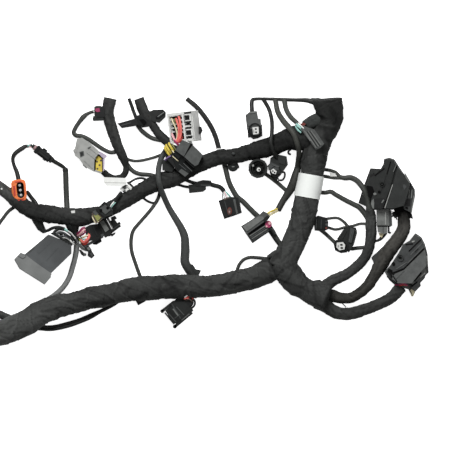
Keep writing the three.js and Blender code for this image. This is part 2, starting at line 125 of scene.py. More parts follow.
TAPE = cloth("cloth_tape", "#3c3d3c")
TAPE_WARM = cloth("cloth_tape_warm", "#403f3c")
# a darker copy of the tape, used for pieces that lie in shadow: painted shade
TAPE_IN_SHADE = cloth("cloth_tape_in_shade", "#343635")
LEAD = cloth("lead_jacket", "#3a3c39", 0.55, 0.25, 0.1)
LEAD_OLIVE = cloth("lead_olive", "#42433f", 0.58, 0.2, 0.1)
LEAD_ASH = cloth("lead_ash", "#434544", 0.58, 0.2, 0.1)
LEAD_GREY = cloth("lead_grey", "#7a7c7b", 0.55, 0.22, 0.08)
LEAD_BLACK = cloth("lead_black", "#232423", 0.5, 0.25, 0.08)
M = {
    "black": plastic("black_plastic", "#161717", 0.4, 0.3),
    "soft": plastic("soft_black", "#1e201f", 0.58, 0.22),
    "gloss": plastic("gloss_black", "#191b1b", 0.2, 0.5, grain=0.05),
    "coal": plastic("coal_plastic", "#282a29", 0.4, 0.3),
    "dark": plastic("dark_grey", "#212322", 0.42, 0.3),
    "slate": plastic("slate_plastic", "#3b3d3d", 0.42, 0.3),
    "mid": plastic("mid_grey", "#4a4c4b", 0.45, 0.28),
    "ash": plastic("ash_plastic", "#555756", 0.45, 0.28),
    "shell": plastic("shell_grey", "#424445", 0.5, 0.25, 0.12, 60.0),
    "flange": plastic("flange_grey", "#757776", 0.5, 0.25, 0.1, 60.0),
    "grey": plastic("grey_plastic", "#676967", 0.45, 0.3),
    "light": plastic("light_grey", "#959693", 0.5, 0.25, 0.08),
    "rack": plastic("rack_grey", "#bebfbc", 0.5, 0.25, 0.06),
    "pale": plastic("pale_grey", "#cfd0cd", 0.5, 0.25, 0.06),
    "white": plastic("white_plastic", "#e2e3e0", 0.5, 0.25, 0.03),
    "orange": plastic("orange_plastic", "#dd7644", 0.4, 0.3, 0.08),
    "red": plastic("red_plastic", "#ad3b33", 0.45, 0.3, 0.1),
    "salmon": plastic("salmon_wire", "#dc7068", 0.45, 0.3, 0.1),
    "pink": plastic("pink_wire", "#d3a0a4", 0.45, 0.3, 0.1),
    "dusk": plastic("dusky_seal", "#9a7f80", 0.55, 0.2, 0.15, 500.0),
    "brick": plastic("brick_seal", "#6a332e", 0.5, 0.2, 0.1),
    "magenta": plastic("magenta_seal", "#92375a", 0.5, 0.25, 0.1),
    "purple": plastic("purple_wire", "#6f5a86", 0.5, 0.25, 0.1),
    "teal": plastic("teal_wire", "#8fbab2", 0.5, 0.25, 0.1),
    "yellow": plastic("yellow_wire", "#cdb84e", 0.5, 0.25, 0.1),
    "cream": plastic("cream_wire", "#d3caa8", 0.5, 0.25, 0.1),
    "lilac": plastic("lilac_lip", "#ada2b3", 0.5, 0.25, 0.08),
    "olive": plastic("olive_seal", "#84864e", 0.5, 0.25, 0.2, 700.0),
    "brown": plastic("brown_seal", "#544a42", 0.7, 0.18, 0.2, 400.0),
    # near-black fill for recesses, holes, slots and gaps between parts: painted shade
    "hole": plastic("painted_recess_shade", "#0a0a0a", 0.8, 0.08, 0.0, grain=0),
}


def painted_shading_ramp(m, along, lo, hi, k):
    """Paints shading into a plastic: lightens it steadily from one place to another along a plan direction."""
    nt = m.node_tree
    b = nt.nodes["Principled BSDF"]
    tc, dot, mr, mix = (nt.nodes.new(n) for n in ("ShaderNodeTexCoord", "ShaderNodeVectorMath", "ShaderNodeMapRange", "ShaderNodeMix"))
    dot.operation = "DOT_PRODUCT"
    dot.inputs[1].default_value = along
    mr.inputs["From Min"].default_value, mr.inputs["From Max"].default_value = lo, hi
    mr.inputs["To Min"].default_value, mr.inputs["To Max"].default_value = 1.0, k
    mix.data_type, mix.blend_type = "RGBA", "MULTIPLY"
    mix.clamp_result = False
    mix.inputs["Factor"].default_value = 1.0
    nt.links.new(tc.outputs["Object"], dot.inputs[0])
    nt.links.new(dot.outputs["Value"], mr.inputs["Value"])
    nt.links.new(b.inputs["Base Color"].links[0].from_socket, mix.inputs["A"])
    nt.links.new(mr.outputs["Result"], mix.inputs["B"])
    nt.links.new(mix.outputs["Result"], b.inputs["Base Color"])


# painted shading: the housing shell lightens steadily towards the lower left
painted_shading_ramp(M["shell"], (-0.705, -0.709, 0), 0.095, 0.146, 1.75)


def spline(points, step):
    """Centripetal curve through [x, y, z, radius] rows, in even steps."""
    p = np.array(points, float)
    p = np.vstack([2 * p[0] - p[1], p, 2 * p[-1] - p[-2]])
    out = []
    for i in range(1, len(p) - 2):
        q = p[i - 1 : i + 3]
        t = np.concatenate([[0], np.cumsum(np.maximum(np.linalg.norm(np.diff(q[:, :3], axis=0), axis=1), 1e-7) ** 0.5)])
        u = np.linspace(t[1], t[2], 24, endpoint=False)[:, None]
        a1 = (t[1] - u) / (t[1] - t[0]) * q[0] + (u - t[0]) / (t[1] - t[0]) * q[1]
        a2 = (t[2] - u) / (t[2] - t[1]) * q[1] + (u - t[1]) / (t[2] - t[1]) * q[2]
        a3 = (t[3] - u) / (t[3] - t[2]) * q[2] + (u - t[2]) / (t[3] - t[2]) * q[3]
        b1 = (t[2] - u) / (t[2] - t[0]) * a1 + (u - t[0]) / (t[2] - t[0]) * a2
        b2 = (t[3] - u) / (t[3] - t[1]) * a2 + (u - t[1]) / (t[3] - t[1]) * a3
        out.append((t[2] - u) / (t[2] - t[1]) * b1 + (u - t[1]) / (t[2] - t[1]) * b2)
    c = np.vstack([*out, p[-2][None]])
    s = np.concatenate([[0], np.cumsum(np.linalg.norm(np.diff(c[:, :3], axis=0), axis=1))])
    n = max(4, int(round(s[-1] / step)))
    at = np.linspace(0, s[-1], n + 1)
    return np.stack([np.interp(at, s, c[:, k]) for k in range(4)], 1), float(s[-1])


def rows(route):
    """Metres: x, y, z of the middle, radius."""
    return [[X(a), Y(b), (w * 0.6 if not z else z[0]) * 0.001, w * 0.6 * 0.001] for a, b, w, *z in route]


def link_mesh(name, verts, faces, mats, face_mats=None, tones=None, sharp=None):
    me = bpy.data.meshes.new(name)
    me.from_pydata(verts, [], faces)
    for m in mats:
        me.materials.append(m)
    if face_mats is not None:
        me.polygons.foreach_set("material_index", face_mats)
    me.polygons.foreach_set("use_smooth", [True] * len(me.polygons))
    if tones is not None:
        at = me.color_attributes.new("tone", "FLOAT_COLOR", "POINT")
        at.data.foreach_set("color", np.repeat(np.clip(tones, 0.05, 3.0), 4).reshape(-1, 4).astype(np.float32).ravel())
    me.update()
    if sharp:
        me.set_sharp_from_angle(angle=math.radians(sharp))
    o = bpy.data.objects.new(name, me)
    bpy.context.scene.collection.objects.link(o)
    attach(o, "root")
    return o


def sweep(name, route, mat, slot_name="cloth_tape", sides=None, step=None, pitch=None, turn=0.0003, hand=1, flat=1.0, wrinkle=1.0, seed=0.0, fold=0.0, calm=None, creases=(), shade=((0, 1), (1, 1)), cut=(False, False), caps=(True, True), replaces=()):
    """A wrapped tube along a plan route: its tape turns stand a little proud of each other, and folds cross them. Its
    tone paints shade and highlights at the turns, folds and creases, and light and shade along the route.
    """
    pts, length = spline(rows(route), 0.001)
    big = float(np.median(pts[:, 3]))
    step = step or max(0.0006, min(0.0011, big * 0.14))
    pts, length = spline(rows(route), step)
    sides = sides or int(min(56, max(12, round(2 * math.pi * big / 0.0016))))
    pitch = pitch or max(0.008, min(0.019, big * 1.7))
    n = len(pts)
    tan = np.gradient(pts[:, :3], axis=0)
    tan /= np.linalg.norm(tan, axis=1)[:, None]
    side = np.cross(tan, np.array([0, 0, 1.0]))
    side /= np.linalg.norm(side, axis=1)[:, None]
    up = np.cross(side, tan)
    th = np.arange(sides) * 2 * math.pi / sides
    along = np.arange(n) * length / (n - 1)
    # the shade table paints light and shade along the route, as a factor on the tone
    painted_shading_along = np.interp(np.linspace(0, 1, n), [q[0] for q in shade], [q[1] for q in shade])
    verts, tones = [], []
    for i in range(n):
        s, r0 = along[i], pts[i, 3]
        drift = 1.0 * noise.noise(Vector((s * 17, seed, 3.1))) + 0.35 * noise.noise(Vector((s * 70, seed, 7.7)))
        lump = 1 + 0.045 * wrinkle * noise.noise(Vector((s * 48, seed + 9, 0.4)))
        seen = min(1.0, max(0.0, 0.55 + 1.6 * noise.noise(Vector((s * 24, seed + 4, 1.2)))))
        near = min(1.0, s / 0.004, (length - s) / 0.004) if fold else 1.0
        if calm and calm[0] < s / length < calm[1]:
            near, lump = 0.1, 1 + (lump - 1) * 0.1
        for k in range(sides):
            c, d = math.cos(th[k]), math.sin(th[k])
            f = (s / pitch + drift - hand * 0.42 * math.sin(th[k] + 0.6) + 0.14 * noise.noise(Vector((s * 90, c * 2, d * 2 + seed)))) % 1.0
            w = noise.noise(Vector((s * 210 + hand * d * 1.6, c * 1.3 + seed, d * 1.3)))
            v = noise.noise(Vector((s * 620 + d * 2.2, c * 2.6, d * 2.6 + seed)))
            # edge darkens the start of each tape turn as a painted shadow under the overlapping turn, and lip lightens
            # its proud edge as a painted highlight; seen sets where the turns show
            edge, lip = (max(0.0, 1 - f / 0.12), max(0.0, (f - 0.84) / 0.16)) if turn else (0.0, 0.0)
            r = r0 * lump + turn * (f - 0.55) + wrinkle * (0.00026 * w + 0.00006 * v) * min(1.0, r0 / 0.006)
            t = 1.0 - 0.42 * edge * seen + 0.26 * lip * seen + wrinkle * (0.11 * w + 0.04 * v)
            if fold:
                g = noise.noise(Vector((s * 30 + hand * d * 0.9, c * 0.9 + seed, d * 0.9)))
                a = noise.noise(Vector((s * 62 + hand * d * 1.5 + 5, c * 1.1 + seed, d * 1.1)))
                b = noise.noise(Vector((s * 128 - hand * d * 1.3, c * 1.6, d * 1.6 + seed)))
                # ridge and fine lighten the fold ridges as painted highlights, and low darkens the groove beside each
                # ridge as painted shade; g is a random patch of tone
                ridge, low, fine = max(0.0, 1 - abs(a) * 6), max(0.0, 1 - abs(a + 0.17) * 6), max(0.0, 1 - abs(b) * 6)
                r += fold * near * (0.9 * ridge - 0.75 * low + 0.45 * fine + 0.8 * g)
                t += 0.34 * g + 0.20 * ridge - 0.36 * low + 0.10 * fine
            q = pts[i, :3] + (side[i] * d + up[i] * c * flat) * r
            q[2] = max(q[2], 0.00005)
            tones.append(t * painted_shading_along[i])
            verts.append(q)
    # Creases: a positive strength paints shade along the crease line and dents the tube a little; a negative strength
    # paints a highlight and lifts it
    if creases:
        v, t, mid = np.array(verts), np.array(tones), np.repeat(pts[:, :3], sides, axis=0)
        px, py = (v[:, 0] - 0.084274) / U + 226, 226 - (v[:, 1] + 0.003426) / U
        for x0, y0, x1, y1, w, k in creases:
            dx, dy = x1 - x0, y1 - y0
            u = np.clip(((px - x0) * dx + (py - y0) * dy) / (dx * dx + dy * dy), 0, 1)
            fall = np.exp(-(np.hypot(px - x0 - u * dx, py - y0 - u * dy) / w) ** 2)
            t *= 1 - k * fall
            v -= (v - mid) * (0.055 * k * fall)[:, None]
        v[:, 2] = np.maximum(v[:, 2], 0.00005)
        verts, tones = list(v), list(t)
    faces = []
    for i in range(n - 1):
        a, b = i * sides, (i + 1) * sides
        for k in range(sides):
            j = (k + 1) % sides
            faces.append((a + k, a + j, b + j, b + k))
    for end, on, plain in ((0, caps[0], cut[0]), (n - 1, caps[1], cut[1])):
        if not on:
            continue
        ring = [end * sides + k for k in range(sides)]
        out = tan[end] * (-1 if end == 0 else 1)
        for shrink, push in ((0.93, 0.02), (0.6, 0.03)) if plain else ((0.82, 0.12), (0.45, 0.2)):
            new = []
            for k in range(sides):
                q = pts[end, :3] + (side[end] * math.sin(th[k]) + up[end] * math.cos(th[k]) * flat) * pts[end, 3] * shrink + out * pts[end, 3] * push
                q[2] = max(q[2], 0.00005)
                new.append(len(verts))
                verts.append(q)
                tones.append(0.7 * painted_shading_along[end])
            for k in range(sides):
                j = (k + 1) % sides
                quad = (ring[k], ring[j], new[j], new[k])
                faces.append(quad if end else quad[::-1])
            ring = new
        faces.append(tuple(ring) if end else tuple(ring[::-1]))
    o = link_mesh(name, [tuple(v) for v in verts], faces, [mat], tones=np.array(tones))
    if replaces:
        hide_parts(*replaces)
    return o, pts[:, :3], length, big * 2


def wire(points, radius, sides=8, z=None):
    """Vertices and faces of a thin wire through plan points (x, y, z in mm)."""
    pts, length = spline([[X(a), Y(b), c * 0.001, radius] for a, b, c in points], max(0.0006, radius))
    tan = np.gradient(pts[:, :3], axis=0)
    tan /= np.linalg.norm(tan, axis=1)[:, None]
    ref = np.array([0, 0, 1.0]) if abs(tan[:, 2]).max() < 0.95 else np.array([0.3, 0.9, 0.1])
    side = np.cross(tan, ref)
    side /= np.maximum(np.linalg.norm(side, axis=1), 1e-9)[:, None]
    up = np.cross(side, tan)
    verts, faces = [], []
    for i in range(len(pts)):
        for k in range(sides):
            t = k * 2 * math.pi / sides
            verts.append(tuple(pts[i, :3] + (side[i] * math.sin(t) + up[i] * math.cos(t)) * radius))
    for i in range(len(pts) - 1):
        for k in range(sides):
            j = (k + 1) % sides
            a, b = i * sides, (i + 1) * sides
            faces.append((a + k, a + j, b + j, b + k))
    last = (len(pts) - 1) * sides
    faces.append(tuple(range(sides))[::-1])
    faces.append(tuple(last + k for k in range(sides)))
    return verts, faces


class Piece:
    """One fitting made of bevelled solids. at and dir are plan places; local x runs along dir and local y to its left."""

    def __init__(self, name, slot_name, at=(0, 0), dir=(1, 0), z=0.0, roll=0.0):
        self.name, self.slot_name = name, slot_name
        a = math.atan2(-dir[1], dir[0])
        self.M = Matrix.Translation((X(at[0]), Y(at[1]), z * 0.001)) @ Matrix.Rotation(a, 4, "Z") @ Matrix.Rotation(math.radians(roll), 4, "X")
        self.verts, self.faces, self.fm, self.mats = [], [], [], []

    def _add(self, bm, mat, world=False):
        if mat not in self.mats:
            self.mats.append(mat)
        k, base = self.mats.index(mat), len(self.verts)
        bmesh.ops.recalc_face_normals(bm, faces=bm.faces)
        bm.verts.ensure_lookup_table()
        for i, v in enumerate(bm.verts):
            v.index = i
            self.verts.append(tuple(v.co if world else self.M @ v.co))
        for f in bm.faces:
            self.faces.append(tuple(base + v.index for v in f.verts))
            self.fm.append(k)
        bm.free()

    def _prism(self, outline, z0, z1, bevel, top=1.0):
        bm = bmesh.new()
        cx = sum(p[0] for p in outline) / len(outline)
        cy = sum(p[1] for p in outline) / len(outline)
        lo = [bm.verts.new((x, y, z0)) for x, y in outline]
        hi = [bm.verts.new((cx + (x - cx) * top, cy + (y - cy) * top, z1)) for x, y in outline]
        n = len(outline)
        bm.faces.new(lo[::-1])
        bm.faces.new(hi)
        for i in range(n):
            bm.faces.new((lo[i], lo[(i + 1) % n], hi[(i + 1) % n], hi[i]))
        if bevel:
            bmesh.ops.bevel(bm, geom=[e for e in bm.edges if e.calc_face_angle(0) > 0.5], offset=bevel, segments=2, profile=0.5, affect="EDGES", clamp_overlap=True)
        return bm

    def box(self, x0, x1, y0, y1, z0, z1, mat, bevel=0.45, top=1.0):
        """Local box: x and y in plan units, z and bevel in mm."""
        bm = self._prism([(x0 * U, y0 * U), (x1 * U, y0 * U), (x1 * U, y1 * U), (x0 * U, y1 * U)], z0 * 0.001, z1 * 0.001, bevel * 0.001, top)
        self._add(bm, mat)
        return self

    def rim(self, x0, x1, y0, y1, z0, z1, wall, mat, bevel=0.3):
        """A box frame with an open middle."""
        w = wall
        self.box(x0, x1, y0, y0 + w, z0, z1, mat, bevel).box(x0, x1, y1 - w, y1, z0, z1, mat, bevel)
        return self.box(x0, x0 + w, y0 + w * 0.6, y1 - w * 0.6, z0, z1, mat, bevel).box(x1 - w, x1, y0 + w * 0.6, y1 - w * 0.6, z0, z1, mat, bevel)

    def post(self, x, y, r, z0, z1, mat, bevel=0.35, sides=28, top=1.0, ry=None):
        ry = ry or r
        bm = self._prism([((x + r * math.cos(t * 2 * math.pi / sides)) * U, (y + ry * math.sin(t * 2 * math.pi / sides)) * U) for t in range(sides)], z0 * 0.001, z1 * 0.001, bevel * 0.001, top)
        self._add(bm, mat)
        return self

    def barrel(self, x0, x1, y, z, r, mat, r1=None, sides=24, hollow=0.0):
        """A cylinder along local x: y in plan units, z and radii in mm."""
        r1 = r1 or r
        bm = bmesh.new()
        rings = [(x0 * U, r * 0.001), (x1 * U, r1 * 0.001)]
        rows_ = []
        for xx, rr in rings:
            rows_.append([bm.verts.new((xx, y * U + rr * math.cos(t * 2 * math.pi / sides), z * 0.001 + rr * math.sin(t * 2 * math.pi / sides))) for t in range(sides)])
        for i in range(sides):
            bm.faces.new((rows_[0][i], rows_[0][(i + 1) % sides], rows_[1][(i + 1) % sides], rows_[1][i]))
        bm.faces.new(rows_[0][::-1])
        bm.faces.new(rows_[1])
        self._add(bm, mat)
        return self

    def tube(self, x, y, r, wall, z0, z1, mat, sides=32, rx=1.0):
        """An upright ring: x, y, r and wall in plan units."""
        bm = bmesh.new()
        rr = [(r, z0), (r, z1 - 0.3), (r - 0.25, z1), (r - wall + 0.25, z1), (r - wall, z1 - 0.3), (r - wall, z0)]
        rings = [[bm.verts.new(((x + q * rx * math.cos(t * 2 * math.pi / sides)) * U, (y + q * math.sin(t * 2 * math.pi / sides)) * U, zz * 0.001)) for t in range(sides)] for q, zz in rr]
        for a in range(len(rings)):
            b = (a + 1) % len(rings)
            for i in range(sides):
                j = (i + 1) % sides
                bm.faces.new((rings[a][i], rings[a][j], rings[b][j], rings[b][i]))
        self._add(bm, mat)
        return self

    def plan(self, outline, z0, z1, mat, bevel=0.4, top=1.0):
        """A prism over an outline in plan units, upright."""
        bm = self._prism([(X(a), Y(b)) for a, b in outline], z0 * 0.001, z1 * 0.001, bevel * 0.001, top)
        self._add(bm, mat, True)
        return self

    def strip(self, a, b, width, z0, z1, mat, bevel=0.2, z0b=None, z1b=None):
        """A straight bar between two plan points."""
        dx, dy = b[0] - a[0], b[1] - a[1]
        q = math.hypot(dx, dy) or 1
        nx, ny = -dy / q * width / 2, dx / q * width / 2
        return self.plan([(a[0] + nx, a[1] + ny), (a[0] - nx, a[1] - ny), (b[0] - nx, b[1] - ny), (b[0] + nx, b[1] + ny)], z0, z1, mat, bevel)

    def frame(self, outer, inner, z0, z1, mat):
        """A wall between two plan outlines that have as many points each."""
        bm = bmesh.new()
        n = len(outer)

        def between(t):
            return [(a + (c - a) * t, b + (d - b) * t) for (a, b), (c, d) in zip(outer, inner)]

        rings = [[bm.verts.new((X(a), Y(b), z * 0.001)) for a, b in o] for o, z in ((outer, z0), (outer, z1 - 0.7), (between(0.2), z1), (between(0.8), z1), (inner, z1 - 0.7), (inner, z0))]
        for k in range(6):
            m = (k + 1) % 6
            for i in range(n):
                j = (i + 1) % n
                bm.faces.new((rings[k][i], rings[k][j], rings[m][j], rings[m][i]))
        self._add(bm, mat, True)
        return self

    def disc(self, x, y, r, z0, z1, mat, ry=None, sides=20, bevel=0.2):
        """An upright post at a plan place."""
        ry = ry or r
        return self.plan([(x + r * math.cos(t * 2 * math.pi / sides), y + ry * math.sin(t * 2 * math.pi / sides)) for t in range(sides)], z0, z1, mat, bevel)

    def wire(self, points, radius, mat, sides=8):
        v, f = wire(points, radius * 0.001, sides)
        if mat not in self.mats:
            self.mats.append(mat)
        base, k = len(self.verts), self.mats.index(mat)
        self.verts += v
        for q in f:
            self.faces.append(tuple(base + i for i in q))
            self.fm.append(k)
        return self

    def local_wire(self, points, radius, mat, sides=8):
        """A wire through local points: x, y in plan units, z in mm."""
        out = []
        for a, b, c in points:
            w = self.M @ Vector((a * U, b * U, c * 0.001))
            out.append(((w.x - 0.084274) / U + 226, 226 - (w.y + 0.003426) / U, w.z * 1000))
        return self.wire(out, radius, mat, sides)

    def done(self, *nodes):
        o = link_mesh(self.name, self.verts, self.faces, self.mats if not isinstance(self.mats[0], str) else [M[m] for m in self.mats], face_mats=self.fm, sharp=26)
        if nodes:
            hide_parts(*nodes)
        return o


ROUTES = {
  "trunk_lower": [[-30.1,337.9,22],[-14,336.7,23.6],[0,333.2,25],[12,329.2,25],[27,322.3,25.6],[40,313.2,25],[57,306.7,22.5],[67,304.5,21.5],[80,301,21],[90,298,22],[100,296.8,22],[110,294,20.5],[120,291.8,21.4],[130,289.7,23],[150,287.9,23.6],[168,287,24.6],[190,286.5,23.5],[207,286.7,21],[215,285.6,21.2],[230,283,22.2],[240,280.6,22.8],[250,278.6,22.2],[262,273.8,23],[272,268.4,25.4]],
  "trunk_riser": [[280.4,268,26.4],[283.2,262,25],[288.8,252,24],[294.8,241,23.6],[301.6,223,24.8],[304.8,208,25.4],[307.9,193.6,24],[310.8,183,22.6],[312.2,173,23],[314,158,26.2],[317,146,26],[321,136,25.4],[326,128,24.6],[329.5,119,25],[329,109.5,28],[327.8,103,29.4],[327.4,99.4,30]],
  "trunk_middle": [[-26,172,15],[-12,179.4,13],[0,187.6,12.2],[10,195.2,12.6],[20,203.6,14],[32,211,15.5],[42,213,17],[50,214.3,17.5],[63,216,16.5],[80,217,18],[90,215.3,16.8],[100,213.7,15.5],[110,209,15],[120,203.5,14.8],[130,197.5,14.5],[140,191.5,15],[150,186,16],[162,181.4,17.4],[175,177.2,16.6],[190,169.6,14.8],[205,162.4,14.4],[220,157.1,15],[235,156,15.4],[245,153.2,15.6],[255,150.9,17],[265,148.2,18.4],[275,144.9,19],[287,140,20.8],[298,138,26],[312,136,27]],
  "junction_wrap": [[278.4,263,25.4],[285,268.8,26.2],[296.2,283,24.4],[306.3,289.7,21.8],[317.6,294.7,24.6],[326.4,298.2,26.8]],
  "limb_upper_left": [[110.4,98.4,13],[107.9,111,12],[109.5,120.5,11.5],[113.2,133,11.2],[117.8,146,10],[121,153,9.6],[123.6,159,8.6],[126,166,6.4],[125.5,172,6.2],[121.5,177,6.2],[114,178,6],[107,175,6.2],[101,169.5,6,7]],
  "limb_upper_mid": [[138.9,98.4,10.4],[143.4,111,10.4],[147.2,117,10.4],[152,124,8.8],[157,131.5,8.5],[163,138,9],[169,143.5,9]],
  "limb_right_inner": [[318,293,13],[329,283.5,12],[334,280,11.5],[346,274.5,10.5],[355,268,10.5],[361,262.5,10.5],[366,255.5,10],[369.5,246,10],[371,236,11],[371,226,11.2],[370.8,216,10.2,7],[369.5,208,7.5,13]],
  "limb_ecu_a": [[324,293,12],[335,296.5,11.5],[342,298,10.5],[350.6,297.8,10.5],[359.4,293.2,10.6],[368,285.4,10.8],[374.6,275.4,11.6],[380.4,265.4,14.4],[386,255.4,15.2],[392.2,246.8,14.4],[399.4,237.2,13.6],[403.8,228,13,8],[403.8,219,12.4,9],[403.6,212,11,9]],
  "limb_ecu_b": [[318,301,17],[326,306,14],[334,311.5,13],[343,314,12.5],[352,313.2,11.8],[366,309,11.5],[380,303.5,11.5],[392,297,12],[401,287,12.5,9]],
  "limb_pigtail": [[35,213,11],[37,219,10.5],[40,226,8],[44.5,232,4.5]],
  "limb_fan": [[71,216,13],[72.5,225,13],[74,232,9],[75.5,240,8]],
  "header": [[320,104,7,16],[308,100.6,5,12],[296,100,3.8,7],[284,99.6,3.6,2.4],[272,99,3.2,2],[262,98.8,3],[252,98.8,3]],
  "conduit": [[67.5,214,5.8,9],[66.6,200,5.8],[66,185,5.8],[65.6,172,5.8],[64.2,167.6,5],[58,163.6,4.4,3.4],[51,159.5,4.4,4.5]],
  "lead_orange": [[32,145.2,2.6,5],[29,145.9,3,3.6],[25,146.5,4],[22.3,148.3,4.6],[17.4,151.5,4.6],[14.2,154.8,4.4],[12.8,158.8,3.8],[14,165,3.6],[16.8,172,4.4],[19.2,182,4.8,5]],
  "loop_upper_left": [[99,112.5,3.5,5],[93.8,111.6,3.2],[88,113.5,3.5],[83.6,116.7,5],[79,122.4,4.4],[75.3,128.2,4.3],[73.7,132.6,4.3],[76,135.4,4.5],[81,136,4.5],[87.4,138.6,4.5],[95,143.7,4.4],[103.4,149.3,4.2],[111,152.4,4.2],[119,151,4.2]],
  "lead_a": [[186.6,98.6,4.6],[196.8,107.2,5],[205,117.2,5],[211.4,127.4,5],[215.3,136.2,5],[218.2,146,5],[221,158,4.6]],
  "link_b": [[166.5,149,5,9],[163.4,154,5.5,8],[160.4,160.5,5.5,10],[158.6,168,5.6,17],[158.2,175,5.6,22.5],[159,182,5.6,23.5],[161.5,190.7,5.6,17],[168.8,207.2,6,4.5],[174.8,217.4,6.5],[180.6,227,7.2],[184.4,236.2,8.2],[185.2,250,8.9],[185,262,9.2],[188,268,9],[196.2,279.6,8,5]],
  "link_h": [[222,157,5],[224.6,165,5],[229,182,5.3],[233.4,191,5.3],[237.2,196.8,5.3],[243.2,201.7,5.3],[250.8,209.5,5.5],[257.3,215.9,5.5],[263.5,222.4,5.3],[271,229.3,5.3],[275.5,237,5.3],[284,250,5.3]],
  "link_k": [[160,188,3.2],[158.7,197,3.6],[154.2,205,3.6],[149.2,211.6,3.6],[141,221,3.6],[133.4,230.4,3.7],[131.3,238,3.8],[131.5,250,3.8],[136.4,266,3.8],[143,284,3.8]],
  "lead_c": [[262.4,98,3.8,2.6],[268.3,107.8,4],[270.8,115.4,4,5],[272,123.7,4,13],[271.8,133,4,24],[271,143,4,27.5],[273,151,4,23.5],[277,158,4.5,13]],
  "lead_d": [[275.2,99,5],[277.6,111.2,5.4,8],[283.1,120.6,5.8,19],[288.8,127.4,5.8,30],[294,134.5,5.4,35],[297.3,144,5.4,33],[299,152.5,5.4,23],[298.4,161,5.8,10],[297.6,168,7],[295.8,176,9],[293.1,184.4,9.4],[288.2,193,8],[282.6,201.6,6.8,5.5],[278,210,6.6,8.5]],
  "lead_e": [[284.2,99.4,5],[285.8,108.2,5,10],[290.4,116.6,5,24],[297,123,4.6,32.5],[303,129.5,4.2,33.5]],
  "lead_o": [[289,193,4,3.2],[284,188.5,4],[277,182.5,4],[268.5,176,4],[262,172,3.6]],
  "link_ij": [[318,228,3.8,5],[324,232.5,3.8],[334.6,242,3.8],[340,246,3.6,4]],
  "lead_oval": [[345,245,3.4,4],[350,248.5,3.8],[358,248,3.8],[370,246.5,3.8]],
  "loop_j1": [[236,276,3.5],[237.8,268,3.5],[240,263.4,3.5],[244.2,259.3,3.5],[250,257.4,3.5],[257,257.7,3.5],[263.3,258.3,3.5],[275,259,3.5]],
  "lead_m": [[76.5,237,5,4.5],[76.6,246,5.5],[75.2,257,5.5],[72.4,267.6,5.5],[69.6,276.5,5.5],[64,286,5.5],[55.5,294.5,5.6],[46,301,5.6],[40,305,5.6]],
  "lead_left": [[16,206,3.5,3],[8.3,211.5,3.5],[3.8,217.2,3.5],[0,222.3,3.5],[-4,229,3.5]],
  "lead_f1": [[369.5,209,6.5,13],[367.5,199,6,13],[364.5,190.5,5.8,13],[360.5,184.5,5.8,10],[356,180,5.8,4],[350.5,177.6,5.6],[344.6,178,5.2],[339,177,5],[330,174,5.6],[318,173,5.6]],
  "lead_f2": [[370,221,6.5],[364.4,213,5.8],[359.3,207.4,5.5],[352.3,203.6,5.2],[344.6,199.7,5],[335.7,194.6,4.8],[330.6,191.7,4.6],[325.5,192.7,4.2],[312,191.5,4]],
  "loop_lower": [[121,294,3.4],[118,301.4,3.4],[109,307.2,3.5],[100,311.8,3.5],[91,317.2,3.5],[80,322,3.5],[67,326.4,3.5],[51,329.4,3.5],[38,328.6,3.5]],
  "branch_a2": [[126,163,4.5],[133,171,4.5],[140,174,4.5],[149,174.8,4.5],[160,177.5,4.5]]
}
ROUTES["header"] = ROUTES["header"][:6] + [[256, 98.9, 3.2, 2.6], [252.4, 100, 4, 3.6], [251.6, 103.4, 4.2, 5], [251.8, 108, 4.2, 6.5], [252.2, 113, 4.2, 7.5]]
ROUTES["conduit"] = [[67.5, 214, 5.8, 9], [66.6, 200, 5.8], [66, 185, 5.8], [65.6, 172, 5.8], [65.3, 169.6, 5.9], [64.8, 168.5, 3.8], [63, 166.7, 3.9], [58, 163.6, 4.2, 3.4], [51, 159.5, 4.4, 4.5]]
ROUTES.update({
    "lead_g_upper": [[324, 219.5, 2.8, 4], [328, 218.6, 2.8], [337.6, 218, 2.8], [343.4, 221.4, 3], [347, 225.3, 3.2], [350.5, 230, 3.2, 5]],
    "lead_g_lower": [[324, 227.5, 2.8, 4], [328, 227.6, 2.8], [335.7, 229.4, 2.8], [344, 227.5, 2.8], [352.3, 226, 2.8], [360.6, 223.7, 2.8], [369, 224, 2.8, 3.5]],
    "branch_a1": [[124, 158, 3.2, 5], [133, 160.7, 3], [140, 160.7, 3], [149, 158.8, 3], [158, 156, 3], [166, 152.5, 3, 6]],
    "strand_left": [[136.5, 124.5, 3.4, 3], [141.6, 130.7, 4.4, 4], [148, 135.8, 4.6], [153, 138.5, 4.4], [161, 140.5, 4, 5]],
    "lead_f1_low": [[342, 178.2, 3.4], [338, 178, 3.4], [333, 177.8, 3.4], [328.5, 177, 3.4], [324, 176.3, 3.4], [316, 175.4, 3.2]],
})
ROUTES["lead_f1"] = ROUTES["lead_f1"][:7] + [[340, 176.6, 4], [336, 172.6, 3.4], [331, 170.6, 3.4], [324.5, 169.6, 3.4], [316, 168.8, 3.2]]
